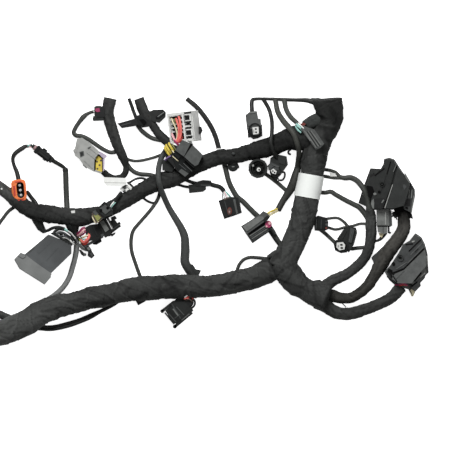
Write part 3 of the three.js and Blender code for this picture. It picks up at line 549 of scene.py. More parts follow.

# Per-route looks: each shade table paints light and shade along its route as a factor on the tone, and each crease
# paints shade along a fold, or a highlight where its strength is negative.
STYLE = {
    "trunk_lower": dict(creases=((133, 301, 147, 293, 2.2, 0.6), (125.6, 293.6, 131.8, 286.4, 1.6, 0.35), (163, 278, 177, 291, 2.2, 0.5), (159.6, 293.6, 175, 286.6, 1.8, 0.42), (152, 283, 156, 277, 1.4, 0.3), (205, 293, 212, 284, 1.4, 0.3), (219, 293, 239, 268, 1.3, 0.4), (232, 286, 248, 281, 1.3, 0.3), (182, 280, 200, 280.4, 3, -0.22), (60, 300, 76, 296.4, 3, -0.15), (95, 306, 112, 300.6, 1.6, 0.28), (273, 279, 279, 292, 1.8, 0.5)), shade=((0, 1.8), (0.1, 1.7), (0.22, 1.2), (0.33, 1.0), (0.42, 0.85), (0.62, 0.78), (0.74, 0.9), (1, 0.82))),
    "trunk_riser": dict(creases=((319, 127, 335, 131, 2.4, 0.45), (321, 124.4, 334, 127, 1.2, -0.5), (316, 112, 322, 119, 2.0, 0.5), (331, 111, 337, 121, 2.0, 0.35), (318, 137, 330, 141, 1.6, 0.3), (290, 231, 300, 226, 1.4, 0.3), (297, 215, 313, 212, 1.2, 0.22), (281, 262, 293, 250, 1.6, 0.3)), calm=(0.37, 0.6), shade=((0, 1.0), (0.3, 1.08), (0.6, 1.0), (0.62, 0.75), (0.78, 0.7), (0.88, 0.38), (1, 0.38))),
    "trunk_middle": dict(creases=((268, 139, 272, 152, 1.8, 0.45), (250, 146, 262, 143, 2.2, -0.35), (246, 148, 250, 158, 1.3, 0.35), (216, 152, 220, 162, 1.4, 0.35), (155, 178, 163, 190, 1.6, 0.4), (86, 208, 96, 222, 1.4, 0.35)), shade=((0, 1.7), (0.1, 1.4), (0.15, 0.4), (0.21, 0.38), (0.25, 0.62), (0.34, 0.7), (0.45, 0.62), (0.52, 0.5), (0.7, 0.55), (0.8, 0.4), (0.86, 0.3), (0.94, 0.32), (1, 0.6))),
    "junction_wrap": dict(creases=((283, 270, 297, 262, 1.3, 0.4), (287, 281, 296, 266, 1.3, 0.3), (305, 276, 308, 292, 1.4, 0.4), (313, 282, 316, 302, 1.4, 0.4), (279, 279, 290, 286, 1.2, 0.35)), shade=((0, 0.88), (1, 0.8))),
    "limb_ecu_a": dict(mat=TAPE_WARM, shade=((0, 0.6), (0.3, 0.68), (0.5, 0.9), (0.7, 1.15), (0.88, 1.1), (0.96, 0.4), (1, 0.35))),
    "limb_ecu_b": dict(shade=((0, 0.8), (0.4, 0.85), (1, 0.9))), "limb_pigtail": dict(mat=TAPE_IN_SHADE, shade=((0, 0.6), (1, 0.9))), "limb_fan": dict(mat=TAPE_IN_SHADE, shade=((0, 0.5), (1, 0.5))),
    "limb_upper_left": dict(shade=((0, 0.72), (0.4, 0.75), (0.6, 0.55), (1, 0.5))), "limb_upper_mid": dict(shade=((0, 0.7), (1, 0.5))),
    "limb_right_inner": dict(shade=((0, 0.93), (0.35, 0.85), (0.55, 0.72), (0.8, 1.05), (1, 1.1))),
    "header": dict(mat=LEAD_BLACK, flat=0.8), "lead_m": dict(mat=LEAD_GREY), "link_b": dict(mat=LEAD_ASH, flat=0.75, wrinkle=0.6, shade=((0, 0.9), (0.35, 0.95), (0.6, 0.85), (0.86, 0.78), (0.93, 0.4), (1, 0.4))),
    "lead_d": dict(mat=LEAD_OLIVE, wrinkle=0.7, shade=((0, 0.8), (0.35, 0.95), (0.5, 1.0), (0.68, 0.55), (0.85, 0.6), (1, 0.5))), "link_h": dict(mat=LEAD, wrinkle=0.6), "lead_a": dict(mat=LEAD_BLACK), "loop_lower": dict(mat=LEAD_BLACK),
    "lead_c": dict(mat=LEAD_BLACK), "conduit": dict(mat=LEAD, shade=((0, 1.0), (0.5, 0.9), (0.66, 0.85), (0.7, 0.3), (1, 0.3))), "lead_orange": dict(mat=LEAD_BLACK),
}
CUT = {"trunk_riser": (False, True), "limb_upper_left": (True, False), "limb_upper_mid": (True, False), "lead_a": (True, False), "lead_c": (True, False), "lead_d": (True, False), "lead_e": (True, False)}
T = {}
for i, (name, route) in enumerate(ROUTES.items()):
    st = dict(STYLE.get(name, {}))
    big = name.startswith(("trunk", "junction", "limb"))
    mat = st.pop("mat", TAPE if big else LEAD)
    opts = dict(turn=0.0004, wrinkle=1.0, fold=0.0008) if name.startswith(("trunk", "junction")) else dict(turn=0.0003, wrinkle=0.8, fold=0.0004) if big else dict(turn=0.0001, wrinkle=0.3)
    opts.update(st)
    own = () if name in ("lead_g_upper", "lead_g_lower", "branch_a1", "strand_left", "lead_f1_low") else (name,)
    T[name] = sweep(f"look_{name}", route, mat, slot_name="cloth_tape" if big or name.startswith("link") else "black_tube", hand=1 if i % 2 else -1, seed=i * 3.7, cut=CUT.get(name, (False, False)), replaces=own, **opts)


# ---- fittings at the left and top ----
P = {}


def fit(name, slot_name, *nodes, at=(0, 0), dir=(1, 0), z=0.0, roll=0.0):
    P[name] = Piece(f"look_{name}", slot_name, at, dir, z, roll)
    P[name].nodes = nodes or (name,)
    return P[name]


p = fit("orange_connector", "orange_plastic", at=(19, 190.5), dir=(4.7, 20.6))
OUT = [(11, 183.4), (12.2, 180.8), (14.8, 179.8), (21.8, 179.2), (24.6, 180.2), (25.8, 182.8), (26.7, 196.4), (25.8, 199.8), (23, 201.4), (16.6, 202), (13.8, 200.6), (12.4, 197.6)]
INN = [(16.4, 185.4), (17, 183.4), (18.6, 182.4), (21, 182.2), (22.8, 183), (23.6, 185), (24.4, 194.2), (23.8, 196.6), (22, 198), (19.8, 198.2), (18, 196.8), (17.2, 194.6)]
p.plan(OUT, 0, 6, "orange", 0.8).frame(OUT, INN, 5.6, 15.4, "orange").plan(INN, 5.4, 6.4, "hole", 0)
p.frame([(x + (18.8 - x) * 0.2, y + (190.6 - y) * 0.2) for x, y in OUT], INN, 15, 16.6, "orange")
p.plan([(8.4, 188.2), (12.2, 187), (13, 196.4), (9.8, 197)], 5, 12, "brown", 0.6).plan([(13.2, 186), (15, 185.8), (15.8, 195.6), (14, 195.8)], 15.6, 16.9, "red", 0.3)
p.plan([(14.8, 181.6), (21.4, 181), (21.4, 182), (15, 182.6)], 15.8, 17, "red", 0.3).plan([(17.4, 200), (24, 199.2), (24, 200.4), (17.6, 201)], 14.6, 16.2, "red", 0.3)
for cx, cy in ((19.6, 185.2), (20.3, 190.1), (21, 195)):
    p.disc(cx, cy, 2.2, 6, 12.8, "black", 2.1, 20, 0.3).disc(cx, cy, 1.15, 10, 13.6, "pale", 1.15, 16, 0.3).disc(cx + 0.1, cy + 0.1, 0.5, 13, 13.9, "grey", 0.5, 10, 0.1)
p.box(9.4, 11.6, -2.6, 3, 3.0, 9.2, "soft", 0.4)

p = fit("inline_plug", "black_plastic", at=(43, 153.6), dir=(0.8, 0.6))
p.barrel(-13.5, -8.6, 0, 5, 2.6, "soft", 3.0).barrel(-11.2, -8.4, 0, 5, 3.3, "dusk")
p.box(-9, 9, -4.2, 3.6, 0, 9, "black", 0.6).box(-5, 8, -2.4, 2.4, 8.6, 12, "black", 0.6)
p.box(-8, -5.6, -4.6, 4.2, 0.6, 9.8, "gloss", 0.4).box(-4.2, 6.6, -1.6, -0.7, 11.6, 12.6, "dark", 0.2).box(-4.2, 6.6, 0.9, 1.7, 11.6, 12.6, "dark", 0.2)
p.box(2, 12, -2.8, 2.8, 0.8, 8, "black", 0.6).box(3, 6, -4.9, 4.2, 1, 8.2, "gloss", 0.5).box(-3, 2, 3.2, 5.2, 1.5, 7, "gloss", 0.4)
p.box(9.5, 11.4, -3.3, 3.3, 1, 8.4, "soft", 0.4)
p.wire([(27.6, 146, 4.4), (30, 145.4, 5), (33.4, 146.4, 5)], 1.0, "teal").wire([(29, 146.8, 5.4), (32.5, 147.4, 5.4), (35, 149, 5)], 0.7, "pink")

g = [(77.2, 138.6), (82, 137.6), (90, 143), (99.4, 151.6), (106.4, 155.2), (106.9, 157), (104.4, 159.6), (104, 170.2), (100.8, 173.4), (95.6, 172.6), (91.8, 171), (87.5, 168.2), (83.2, 164.6), (79, 158.8), (74.8, 155.6), (74, 150.6), (75.2, 146.6), (75.8, 142.6)]
p = fit("grey_connector", "grey_plastic", at=(89.5, 155.6), dir=(0.77, 0.64))
p.plan(g[:3] + [(99.4, 151.6), (98, 154.6), (94.6, 158.6), (93.8, 171.6)] + g[11:], 0, 20.4, "light", 0.9)
p.plan([(98.2, 153.6), (104.6, 157), (104.4, 170.8), (100.8, 173.2), (93.6, 171.4), (94, 158.6)], 0, 9, "light", 0.5)
p.plan([(98, 151.8), (99.6, 151.4), (106.6, 155.2), (107, 157), (104.4, 158.8), (101.2, 156.6)], 5, 19, "lilac", 0.4)
p.plan([(102.8, 158), (104.6, 159), (104.4, 170.2), (103, 171.6)], 5, 18, "lilac", 0.3)
p.plan([(94.2, 171.4), (100.6, 173.6), (102.2, 172.2), (95.4, 169.8)], 5, 17.6, "light", 0.3)
p.plan([(94.4, 171), (101.4, 172.8), (103, 170.6), (103, 158.8), (97.6, 156.6), (94.8, 160)], 8.6, 10, "hole", 0)
p.plan([(96.2, 157.4), (98.6, 156.2), (101.8, 158.2), (102.2, 171), (100.6, 173.2), (95.8, 172), (95.8, 163)], 9.6, 14.4, "yellow", 0.5)
for cx, cy in ((97, 161.6), (99.6, 165), (97.4, 168.6), (100.9, 160.4)):
    p.disc(cx, cy, 1.05, 13, 14.9, "brown", 0.9, 10, 0.15)
p.plan([(79.4, 152), (83.6, 150.8), (84.4, 155.4), (80.4, 157.4)], 19.8, 20.9, "mid", 0.3).plan([(80.2, 152.8), (82.8, 152), (83.2, 155), (80.8, 156.2)], 20.4, 21.1, "dark", 0.2)
p.plan([(87.6, 147.8), (90.4, 146.2), (91, 147.4), (88.4, 149)], 20, 21.4, "mid", 0.3).strip((86.8, 152.4), (95.6, 159.2), 0.8, 20, 21.2, "light").strip((88.8, 147), (97.6, 154.2), 1.0, 20, 21.2, "light")
p.strip((84.4, 160.4), (92.4, 168.2), 0.8, 19.8, 21.2, "light").strip((78.2, 144.4), (75.8, 152.6), 0.9, 19.8, 21, "light")
p.plan([(73, 149.6), (75.4, 148.6), (75.8, 153), (73.6, 152.8)], 3, 14, "light", 0.5).plan([(84, 163.4), (88, 166.6), (86.4, 168.6), (82.6, 165)], 2, 12, "light", 0.5)

p = fit("white_block", "white_plastic")
p.plan([(103.6, 177.2), (125.2, 178), (127.4, 183.4), (123, 186.2), (106.4, 185.6), (103.4, 182)], 7.6, 16.4, "white", 1.1)
p.plan([(104.6, 181.6), (126, 182.2), (126, 183.2), (104.8, 182.6)], 16, 16.7, "pale", 0.2)
p.plan([(124, 184.6), (129, 184.4), (132.4, 188), (130.6, 190.8), (126.2, 191.8), (121.4, 191), (120, 189)], 6, 11.5, "white", 0.8)
p.plan([(122.6, 186.6), (125.4, 185.4), (126.6, 188), (124, 189.4)], 11, 12.8, "mid", 0.4).plan([(122.4, 190.6), (125.6, 190), (125.8, 191.8), (123, 192.4)], 7, 12, "mid", 0.3)
p.strip((126.4, 185.2), (131.2, 189.4), 1.6, 11, 12.8, "pale", 0.3)

p = fit("upper_left_plug", "black_plastic", at=(98.6, 112.4), dir=(0.05, 1))
p.box(-6, 8, -4.2, 5, 0, 12, "soft", 0.7).box(-6.6, -4, -3, 2.6, 2, 13.4, "dark", 0.6).box(-4, 5, -2.4, 5.8, 2, 14, "black", 0.6)
p.box(3.4, 8.4, -5.8, 4.4, 1, 12.8, "dark", 0.9).box(5.2, 7.4, -6.4, -4, 2, 11, "mid", 0.5)
p.plan([(95.6, 108.4), (99.4, 108), (100, 111.6), (97, 112.2), (95, 110.8)], 4, 14.6, "magenta", 0.7)
p.wire([(93.6, 111.4, 6), (95.4, 112.4, 7.4), (97.4, 114, 8.6), (98.6, 114.8, 8)], 0.9, "white").wire([(94.6, 110.4, 6), (95.6, 111, 8), (97, 112.4, 9)], 0.6, "pink")

# the grey rack: its face leans, and plan places on that face are turned into its own
RD = (0.12, 1)
p = fit("rack_connector", "grey_plastic", at=(187.5, 126.5), dir=RD, z=6.2, roll=23)


def onface(px, py, h=23.0):
    q = math.hypot(*RD)
    ox, oy = px - 187.5, py - 126.5
    lx = (ox * RD[0] + oy * RD[1]) / q
    ly = (ox * RD[1] - oy * RD[0]) / q
    return lx, (ly + h * math.sin(math.radians(23)) / 1.2) / math.cos(math.radians(23))


def cell(p, x0, y0, x1, y1, z0, z1, mat, bevel=0.0, h=23.0):
    a, b = onface(x0, y0, h), onface(x1, y1, h)
    p.box(min(a[0], b[0]), max(a[0], b[0]), min(a[1], b[1]), max(a[1], b[1]), z0, z1, mat, bevel)


p.box(-15, 15.5, -12.5, 13, 0, 13.6, "rack", 0.6)
p.box(-15.2, -12.4, -12.6, 13, 13, 23, "pale", 0.5).box(12.2, 15.5, -12.6, 13, 13, 22.6, "pale", 0.5)
p.box(-13, 13, -12.6, -10.8, 13, 23, "pale", 0.4).box(-13, 13, 11.4, 13, 13, 23, "pale", 0.4).box(-13, 13, 3.2, 4.9, 13, 23, "pale", 0.4)
p.box(-1.2, 1.4, 4.6, 11.8, 13, 22.8, "pale", 0.3).box(-15, 15.4, 13, 13.8, 1, 20, "rack", 0.4)
# The cell floors are dark grey and near black: painted shade in the rack's recesses.
p.box(-12.4, 12.4, -10.8, 3.4, 13.4, 14.4, "dark", 0).box(-12.4, 12.4, 4.8, 11.6, 13.4, 14.4, "hole", 0)
for x0, y0, x1, y1 in ((184.4, 115, 190.8, 120.2), (185.8, 130, 192.2, 135.2)):
    cell(p, x0, y0, x1, y1, 14, 22.2, "black", 0.3)
    for t in (0.3, 0.6):
        cell(p, x0 + (x1 - x0) * t, y0 + 0.6, x0 + (x1 - x0) * t + 0.5, y1 - 0.6, 22, 22.6, "dark", 0.1)
for x0, y0, x1, y1 in ((184, 112.2, 190.6, 113.4), (185, 121.4, 191.2, 122.6), (185.4, 127.2, 191.8, 128.4), (186.2, 136.2, 192.6, 137.2)):
    cell(p, x0, y0, x1, y1, 20, 23.1, "dark", 0.1)
for x0, y0, x1, y1 in ((184, 113.5, 190.7, 114.7), (184.8, 120.4, 191, 121.3), (185.6, 128.6, 192, 129.7), (186, 135.4, 192.5, 136.1)):
    cell(p, x0, y0, x1, y1, 16, 22.8, "pale", 0.2)
cell(p, 189.6, 123.8, 191.4, 125.3, 20, 23.1, "hole")
for row in (117, 121.2, 125.4, 129.6, 133.4):
    for col in (168.6, 172.6, 176.6, 180.4):
        dx = (row - 117) * 0.11
        cell(p, col + dx, row - 1.7, col + dx + 3.2, row - 0.9, 14, 22.4 if col > 180 else 19, "pale" if (row, col) != (125.4, 176.6) else "rack", 0.15)
    for col in (171.8, 175.9, 179.6):
        dx = (row - 117) * 0.11
        cell(p, col + dx, row - 1.7, col + dx + 0.6, row + 2.3, 14, 18, "grey", 0.1)
cell(p, 168.4, 114, 182.6, 115.3, 14, 22.6, "pale", 0.2)
cell(p, 178.2, 113.9, 182.4, 115.2, 22, 22.9, "brown", 0.1)
p.plan([(198.6, 126.8), (201.2, 126.6), (202.8, 130.6), (200.6, 134.6), (198.8, 133.6)], 9, 20, "black", 0.6)
for pts, r, mt in (
    ([(178.4, 115.6, 24), (179.6, 120, 28.5), (180.6, 126, 29.5), (181, 132, 29), (180.4, 137, 28), (177.6, 142, 27)], 1.45, "salmon"),
    ([(176, 118.6, 22), (177.2, 122, 27.5), (178.6, 127, 28.5), (178.8, 133, 28), (178, 138, 27), (175.6, 143, 26)], 1.3, "salmon"),
    ([(171.4, 118, 19), (172.8, 121.6, 24), (175, 126.4, 26.5), (176.8, 132, 27), (177, 138, 26.5), (175, 143.4, 26)], 0.95, "cream"),
    ([(171.8, 133.6, 20), (173.4, 137.6, 24.5), (175.6, 141.6, 26.5), (178.8, 145.6, 25)], 1.5, "pink"),
    ([(173.4, 136.4, 22), (174.6, 140.4, 26.4), (177, 143.6, 27.5), (179.4, 146.4, 25)], 1.4, "magenta"),
    ([(182.4, 137, 24), (181, 140, 27.5), (178.6, 143, 27)], 1.0, "red"),
    ([(176, 131, 18), (177.6, 135, 24), (176.6, 140, 26)], 0.8, "teal"),
    ([(174, 118.4, 19), (175, 121.4, 22.5), (175.8, 124.5, 20)], 0.7, "olive"),
):
    p.wire(pts, r, mt)

# ---- fittings at the middle and top ----
p = fit("relay_connector", "black_plastic", at=(185.6, 158.6), dir=(0.81, 0.585), z=19.8)
p.plan([(175.2, 150.2), (182.4, 139.8), (190.6, 143.4), (184, 156.4), (181, 154.6)], 19.8, 38.6, "mid", 0.7)
p.plan([(184.2, 156.8), (192.6, 145), (202.8, 154.8), (198, 164.8), (195, 166), (191.6, 163.4)], 19.8, 38.2, "mid", 0.7)
p.plan([(182.4, 155.4), (189.6, 142.8), (193.4, 144.8), (185.8, 158.2)], 19.8, 37, "hole", 0.2)
p.plan([(187.6, 140.4), (191.4, 140.6), (193, 144.6), (190.6, 145.2)], 22, 35, "grey", 0.5)
p.plan([(170.6, 154.2), (175.6, 149.6), (184, 156.4), (194.6, 165.6), (189.6, 172.2), (187, 176.4), (178.4, 170.6)], 19.8, 29, "gloss", 0.7)
p.plan([(165.4, 157.6), (171.4, 154), (178, 161.4), (188.6, 170.4), (184.4, 176.6), (177, 170.4)], 19.8, 27, "black", 0.7)
p.plan([(173, 153.2), (176, 151.2), (181, 155.6), (178.4, 159.2)], 28, 33.6, "gloss", 0.4).plan([(183.6, 158.6), (185, 157.2), (195, 165.6), (193.4, 168)], 28, 34, "gloss", 0.4)
p.strip((185, 161.4), (193.6, 169.6), 2.6, 28.4, 30.4, "hole", 0).strip((172.4, 156), (178.2, 161), 0.9, 26.6, 29.8, "cream", 0.2)
p.strip((183.4, 163.2), (192, 171.2), 0.8, 28.6, 30.6, "mid", 0.2).strip((179.2, 164), (186.2, 170), 0.8, 28.4, 29.8, "slate", 0.2)
p.strip((176, 160.6), (180.4, 164.8), 2.2, 26.6, 27.6, "hole", 0)
p.plan([(178.4, 171.4), (181.4, 168.8), (188.6, 173.6), (185, 176.8)], 21, 30.4, "mid", 0.6)
p.plan([(162.8, 151.4), (169, 142.6), (178.4, 146.4), (173.6, 156), (166, 158.4)], 17, 23, "soft", 0.6)
p.plan([(162.2, 160.4), (168, 158), (175, 167), (172, 172), (162.4, 170.4)], 14, 20, "soft", 1.2)
for k, (a, b) in enumerate((((166.6, 146.6), (170.4, 152.8)), ((169.4, 144.8), (173.4, 151.2)), ((165.2, 149), (168.6, 154.2)))):
    p.wire([(a[0] - 0.4, a[1] - 1.6, 22), (a[0], a[1], 26.5 + k), ((a[0] + b[0]) / 2, (a[1] + b[1]) / 2, 29.5 - k), (b[0], b[1], 27), (b[0] + 1.6, b[1] + 2, 24)], 1.5, "yellow")
p.wire([(172.2, 144.4, 26), (174, 147.4, 30), (176, 150.4, 29)], 0.8, "olive").wire([(165, 160, 25), (168, 157.4, 27.6), (171, 155.8, 28)], 1.0, "purple")
p.wire([(171.6, 149.6, 27), (173.6, 152.4, 30), (175.4, 154.6, 29)], 0.8, "cream")

p = fit("taped_plug", "black_plastic", at=(199, 186.6), dir=(1, 0.08))
p.plan([(188.4, 184.8), (199, 183.6), (206, 185), (206, 189.6), (203, 191.8), (189.2, 193.2)], 0, 12, "soft", 1.6)
p.plan([(194.6, 182.4), (203, 180), (210.8, 180.4), (211.8, 183), (210.6, 186.4), (201, 186.8), (195.6, 186)], 3, 12.8, "black", 1.2)
p.plan([(203.2, 181), (210.6, 181.4), (211, 183), (203.6, 182.8)], 12.4, 13.4, "gloss", 0.3).plan([(200.6, 184.4), (211, 185), (210.6, 186), (201, 185.6)], 12, 13, "slate", 0.3)
p.plan([(190, 187.4), (203.4, 187.4), (204, 188.6), (190, 189)], 11.6, 12.5, "dark", 0.3)
p.wire([(181.6, 178, 14), (187, 180.4, 11), (192, 182.4, 8), (197, 183.6, 7)], 2.2, "soft", 10)
p.wire([(165, 183.6, 8), (172, 184.2, 4), (179, 185, 3.4), (184, 186.4, 4), (190, 187.4, 6)], 1.7, "soft", 10)
p.wire([(209, 183.6, 7), (214, 185.4, 6), (219, 186.6, 5.4), (222, 188.6, 5), (224, 191.4, 5)], 2.7, "soft", 12)
for k, (mt, dx, r) in enumerate((("soft", -1.2, 0.55), ("pale", 0.3, 0.5), ("pink", 2.2, 0.5), ("white", 3.6, 0.55), ("teal", 5.4, 0.7), ("teal", 6.6, 0.6))):
    p.wire([(223.4 + k * 0.25, 190.4, 6), (223.6 + dx * 0.6, 193, 7.5), (223.8 + dx * 1.05, 196.8, 8), (224 + dx * 1.1, 199.6, 7)], r, mt)

p = fit("bulb_plug", "black_plastic", at=(233, 166), dir=(1, 0))
p.post(0, 0, 5.6, 0, 10, "black", 1.0).box(-3, 3, 2, 5, 0, 13, "black", 0.6).post(0.4, -1.2, 3.6, 9.6, 11.6, "gloss", 0.6)
p.box(-2, 2.2, 3.4, 4.5, 12.6, 13.8, "pale", 0.3).box(-1.2, 1.4, -1.2, -0.2, 11.4, 12.2, "grey", 0.2).box(4.2, 6.2, -2.4, 0.6, 1, 8, "black", 0.6)

sq = [(218.7, 201.2), (224, 198.4), (230.4, 196.6), (238.6, 197.8), (240.4, 205), (242, 212.8), (233.6, 216), (224.2, 219), (221.6, 211.4)]
p = fit("square_plug", "black_plastic", at=(230.8, 208.2), dir=(0.24, 0.97))
p.plan(sq, 0, 13.4, "soft", 1.0).plan([(219.4, 202), (230.2, 197.8), (233.2, 200), (236.4, 214), (224.8, 217.6)], 13, 16, "black", 0.6)
p.plan([(218.2, 200.8), (221.6, 199.4), (222.6, 202), (219.4, 203.4)], 3, 13.6, "black", 0.5)
# The mid-grey strip along the side of the plug is a painted highlight.
p.plan([(234.2, 198.6), (238, 198.4), (241.2, 212), (237.8, 213.6)], 13, 14.6, "black", 0.4).plan([(233, 199.4), (235.2, 199), (238, 213.4), (236.4, 214.2)], 13.4, 16.4, "mid", 0.3)
p.plan([(238.6, 199.6), (239.4, 199.4), (241.6, 211.4), (240.6, 212)], 12.8, 14.2, "slate", 0.2)
p.disc(229.6, 211, 2.2, 15.6, 16.9, "brick", 3.7, 24, 0.4).disc(229.5, 211.2, 1.5, 16.5, 17.3, "brown", 3.0, 20, 0.3).disc(229.4, 211.8, 0.8, 17, 17.9, "dusk", 1.1, 14, 0.3)
p.strip((221.4, 205.6), (225, 215.6), 0.8, 15.6, 16.6, "dark").strip((224.6, 201.4), (228.4, 214.8), 0.7, 15.6, 16.5, "slate", 0.15).plan([(223.6, 198.8), (230, 196.8), (230.4, 198.2), (224, 200.2)], 14, 15.2, "brown", 0.3)

p = fit("wide_plug", "grey_plastic", at=(256.6, 227.2), dir=(0.83, -0.56), z=7)
p.plan([(240.8, 226.4), (259.4, 214.6), (263.2, 210.9), (266.8, 212.6), (270.4, 216.4), (267.6, 219.4), (247.2, 234)], 7, 26, "mid", 0.9)
p.plan([(242.4, 226.6), (258.8, 216.2), (262.4, 216.4), (264.2, 218.6), (247, 231.4)], 25.6, 27.4, "grey", 0.5)
p.plan([(246.6, 234.4), (266.8, 220.6), (272.2, 226), (268, 232.6), (252.6, 243.2)], 7, 21.6, "dark", 0.9)
p.strip((247.8, 234.4), (266, 222.2), 2.6, 19.4, 22.2, "hole", 0).plan([(262.4, 219.6), (267.2, 215.4), (269.8, 217.4), (265.6, 222.6)], 20, 27, "black", 0.6)
for k, (mt, w) in enumerate((("grey", 1.0), ("mid", 0.9), ("grey", 1.1), ("slate", 1.0))):
    o = 1.5 * k
    p.strip((249 + 0.62 * o, 236.4 + 1.0 * o), (266.4 + 0.5 * o, 225 + 1.15 * o), w, 21, 23.6 - 0.5 * k, mt, 0.25)
p.plan([(241, 226.6), (242.6, 225.6), (253.6, 241.4), (252.4, 243.2)], 8, 25, "dark", 0.4)
p.disc(268.5, 224.2, 3.3, 8, 24.6, "magenta", 3.6, 20, 0.9).disc(269.6, 223.2, 1.3, 24, 25.8, "pink", 1.6, 12, 0.5).disc(266.6, 226.4, 1.0, 23, 25.4, "pink", 1.0, 10, 0.3)
for dx, r in ((0, 1.1), (1.7, 1.0), (3.1, 0.8)):
    p.wire([(266 + dx * 0.6, 215 + dx * 0.8, 20), (269.6 + dx * 0.5, 212 + dx, 21), (273.4 + dx * 0.4, 210.4 + dx * 0.9, 18), (277 + dx * 0.3, 208.8 + dx * 0.8, 14)], r, "cream" if dx else "yellow")
p.wire([(267.6, 228, 18), (271.6, 230.4, 12), (274.4, 234, 9)], 2.0, "slate", 10).wire([(269, 231.4, 16), (271.6, 235, 9), (275, 240, 7), (279.4, 246, 7)], 1.4, "black", 10)

p = fit("round_socket", "black_plastic", at=(258.1, 168.4), dir=(1, 0))
p.tube(0, 0, 9.6, 2.3, 0, 17, "soft", 40).post(0, 0, 8.4, 0, 6.6, "black", 0.5, 36).tube(0.6, -0.6, 6.9, 1.1, 6, 13.6, "black", 36).tube(0.8, -0.8, 3.6, 0.9, 6, 12.4, "gloss", 28)
p.post(0.6, -1.1, 2.0, 6, 13.2, "pale", 0.6, 18).post(1.1, -1.3, 0.9, 13, 13.6, "dark", 0.2, 12).post(-5.2, 2.9, 1.1, 12, 15.2, "light", 0.4, 12)
for t in range(10):
    a = t * math.pi / 5 + 0.2
    p.box(9.2 * math.cos(a) - 0.7, 9.2 * math.cos(a) + 0.7, 9.2 * math.sin(a) - 0.7, 9.2 * math.sin(a) + 0.7, 1, 14.6, "black", 0.4)
for t in range(6):
    a = t * math.pi / 3 + 0.5
    p.box(5.0 * math.cos(a) - 0.5 + 0.6, 5.0 * math.cos(a) + 1.1, 5.0 * math.sin(a) - 1.1, 5.0 * math.sin(a) - 0.1, 6, 11, "dark", 0.2)

p = fit("round_plug", "dark_grey_plastic", at=(279.5, 163.6), dir=(-0.55, 0.83))
p.plan([(270.4, 158), (276, 154), (286.6, 156.4), (288, 164.6), (284.6, 169.4), (281.4, 174), (275, 173.4), (269.6, 165)], 0, 14.4, "soft", 1.2)
p.plan([(267.6, 165.4), (271, 162), (279.4, 166), (278.6, 170.4), (273.4, 169.4), (268.6, 170.6)], 6, 15.4, "slate", 0.6)
p.plan([(277.4, 155.6), (286, 158), (285, 165), (278.8, 163)], 14, 15.6, "dark", 0.5).strip((272.4, 164.6), (278.6, 167.2), 1.2, 15.2, 16.2, "mid", 0.3)
p.post(8.9, 1.4, 6.0, 0, 12.6, "black", 0.6, 30).tube(8.9, 1.4, 5.6, 1.0, 12, 15.6, "gloss", 30)
p.plan([(270.6, 170.4), (273.4, 168.6), (276.8, 171.4), (275.6, 174.2), (272.4, 173.4)], 12, 16.4, "pale", 0.5)
p.disc(272.8, 171, 0.8, 16, 16.8, "hole", 0.8, 10, 0).disc(274.6, 172.5, 0.8, 16, 16.8, "hole", 0.8, 10, 0)
p.wire([(281, 172.6, 5), (284.2, 172.2, 4), (284.8, 176, 3), (282.4, 180, 3), (278, 180.2, 3)], 1.2, "black", 10)
p.plan([(271.4, 175.6), (277.4, 175.2), (279, 178.6), (276.2, 180.8)], 1, 9, "slate", 0.6)

p = fit("two_way_plug", "dark_grey_plastic", at=(253.6, 125.2), dir=(0.07, 1))
p.plan([(245.4, 115), (250, 111.6), (256.8, 111), (258.2, 118.6), (260.6, 119), (261.4, 128), (247, 129.6)], 0, 16, "mid", 1.0)
p.plan([(246.6, 116), (256.2, 113.4), (257.8, 125), (247.6, 126)], 15.6, 17, "mid", 0.5).plan([(258.4, 119.2), (260.8, 119.6), (261.2, 126), (258.8, 126)], 10, 15.8, "grey", 0.4)
p.plan([(247.2, 127.4), (252, 124.8), (262, 124.6), (262.4, 136), (258, 138.4), (253.4, 139.4), (250.6, 137.4), (248, 137.8)], 0, 15.4, "black", 1.0)
p.tube(4.4, 1.1, 6.6, 1.3, 10, 18.2, "gloss", 32).post(4.4, 1.1, 5.6, 9, 14.6, "hole", 0)
p.plan([(252.4, 127.4), (258.4, 126.8), (259, 133.8), (253.2, 134.6)], 12, 17, "pale", 0.5)
p.disc(255.8, 129, 1.0, 16.6, 17.3, "hole", 0.85, 12, 0).disc(256.1, 132.2, 1.0, 16.6, 17.3, "hole", 0.85, 12, 0).plan([(253, 129.6), (254, 129.4), (254.4, 132.4), (253.4, 132.6)], 16.8, 17.5, "light", 0.1)
p.strip((249.8, 112.8), (255.6, 112), 1.4, 15.6, 17.2, "grey", 0.3)

p = fit("ribbed_plug", "dark_grey_plastic", at=(311.4, 138.2), dir=(0.53, 0.85), z=29)
p.plan([(300.6, 129), (303.6, 125.4), (308.4, 127.6), (314.6, 129.6), (324.2, 143.8), (320.6, 147.6), (316, 149.8), (311, 143)], 29, 38.6, "mid", 0.8)
for k, (a, b) in enumerate((((305.4, 131.4), (316.2, 147.8)), ((308.2, 131), (318.6, 146.4)), ((311, 130.8), (321, 145)), ((303.2, 129.4), (310.4, 140.8)))):
    p.strip(a, b, 1.0, 38.2, 40.6, "grey" if k != 1 else "grey", 0.3)
for a, b in (((306.8, 131.4), (317.4, 147)), ((309.6, 131), (319.8, 145.8))):
    p.strip(a, b, 0.8, 38.2, 39.2, "black", 0.1)
p.plan([(300.6, 123.8), (303.6, 122.4), (306, 124), (303.4, 126.4)], 31, 37, "brick", 0.6)
p.wire([(296.4, 124, 34), (299.4, 127, 37), (302.4, 129.8, 37)], 1.5, "teal", 10).wire([(297.8, 122.8, 34), (300.6, 125.4, 38), (303.6, 128.4, 38)], 0.9, "white").wire([(295.6, 126.4, 33), (298.4, 130.4, 35.5), (301, 132.6, 36)], 1.2, "teal")

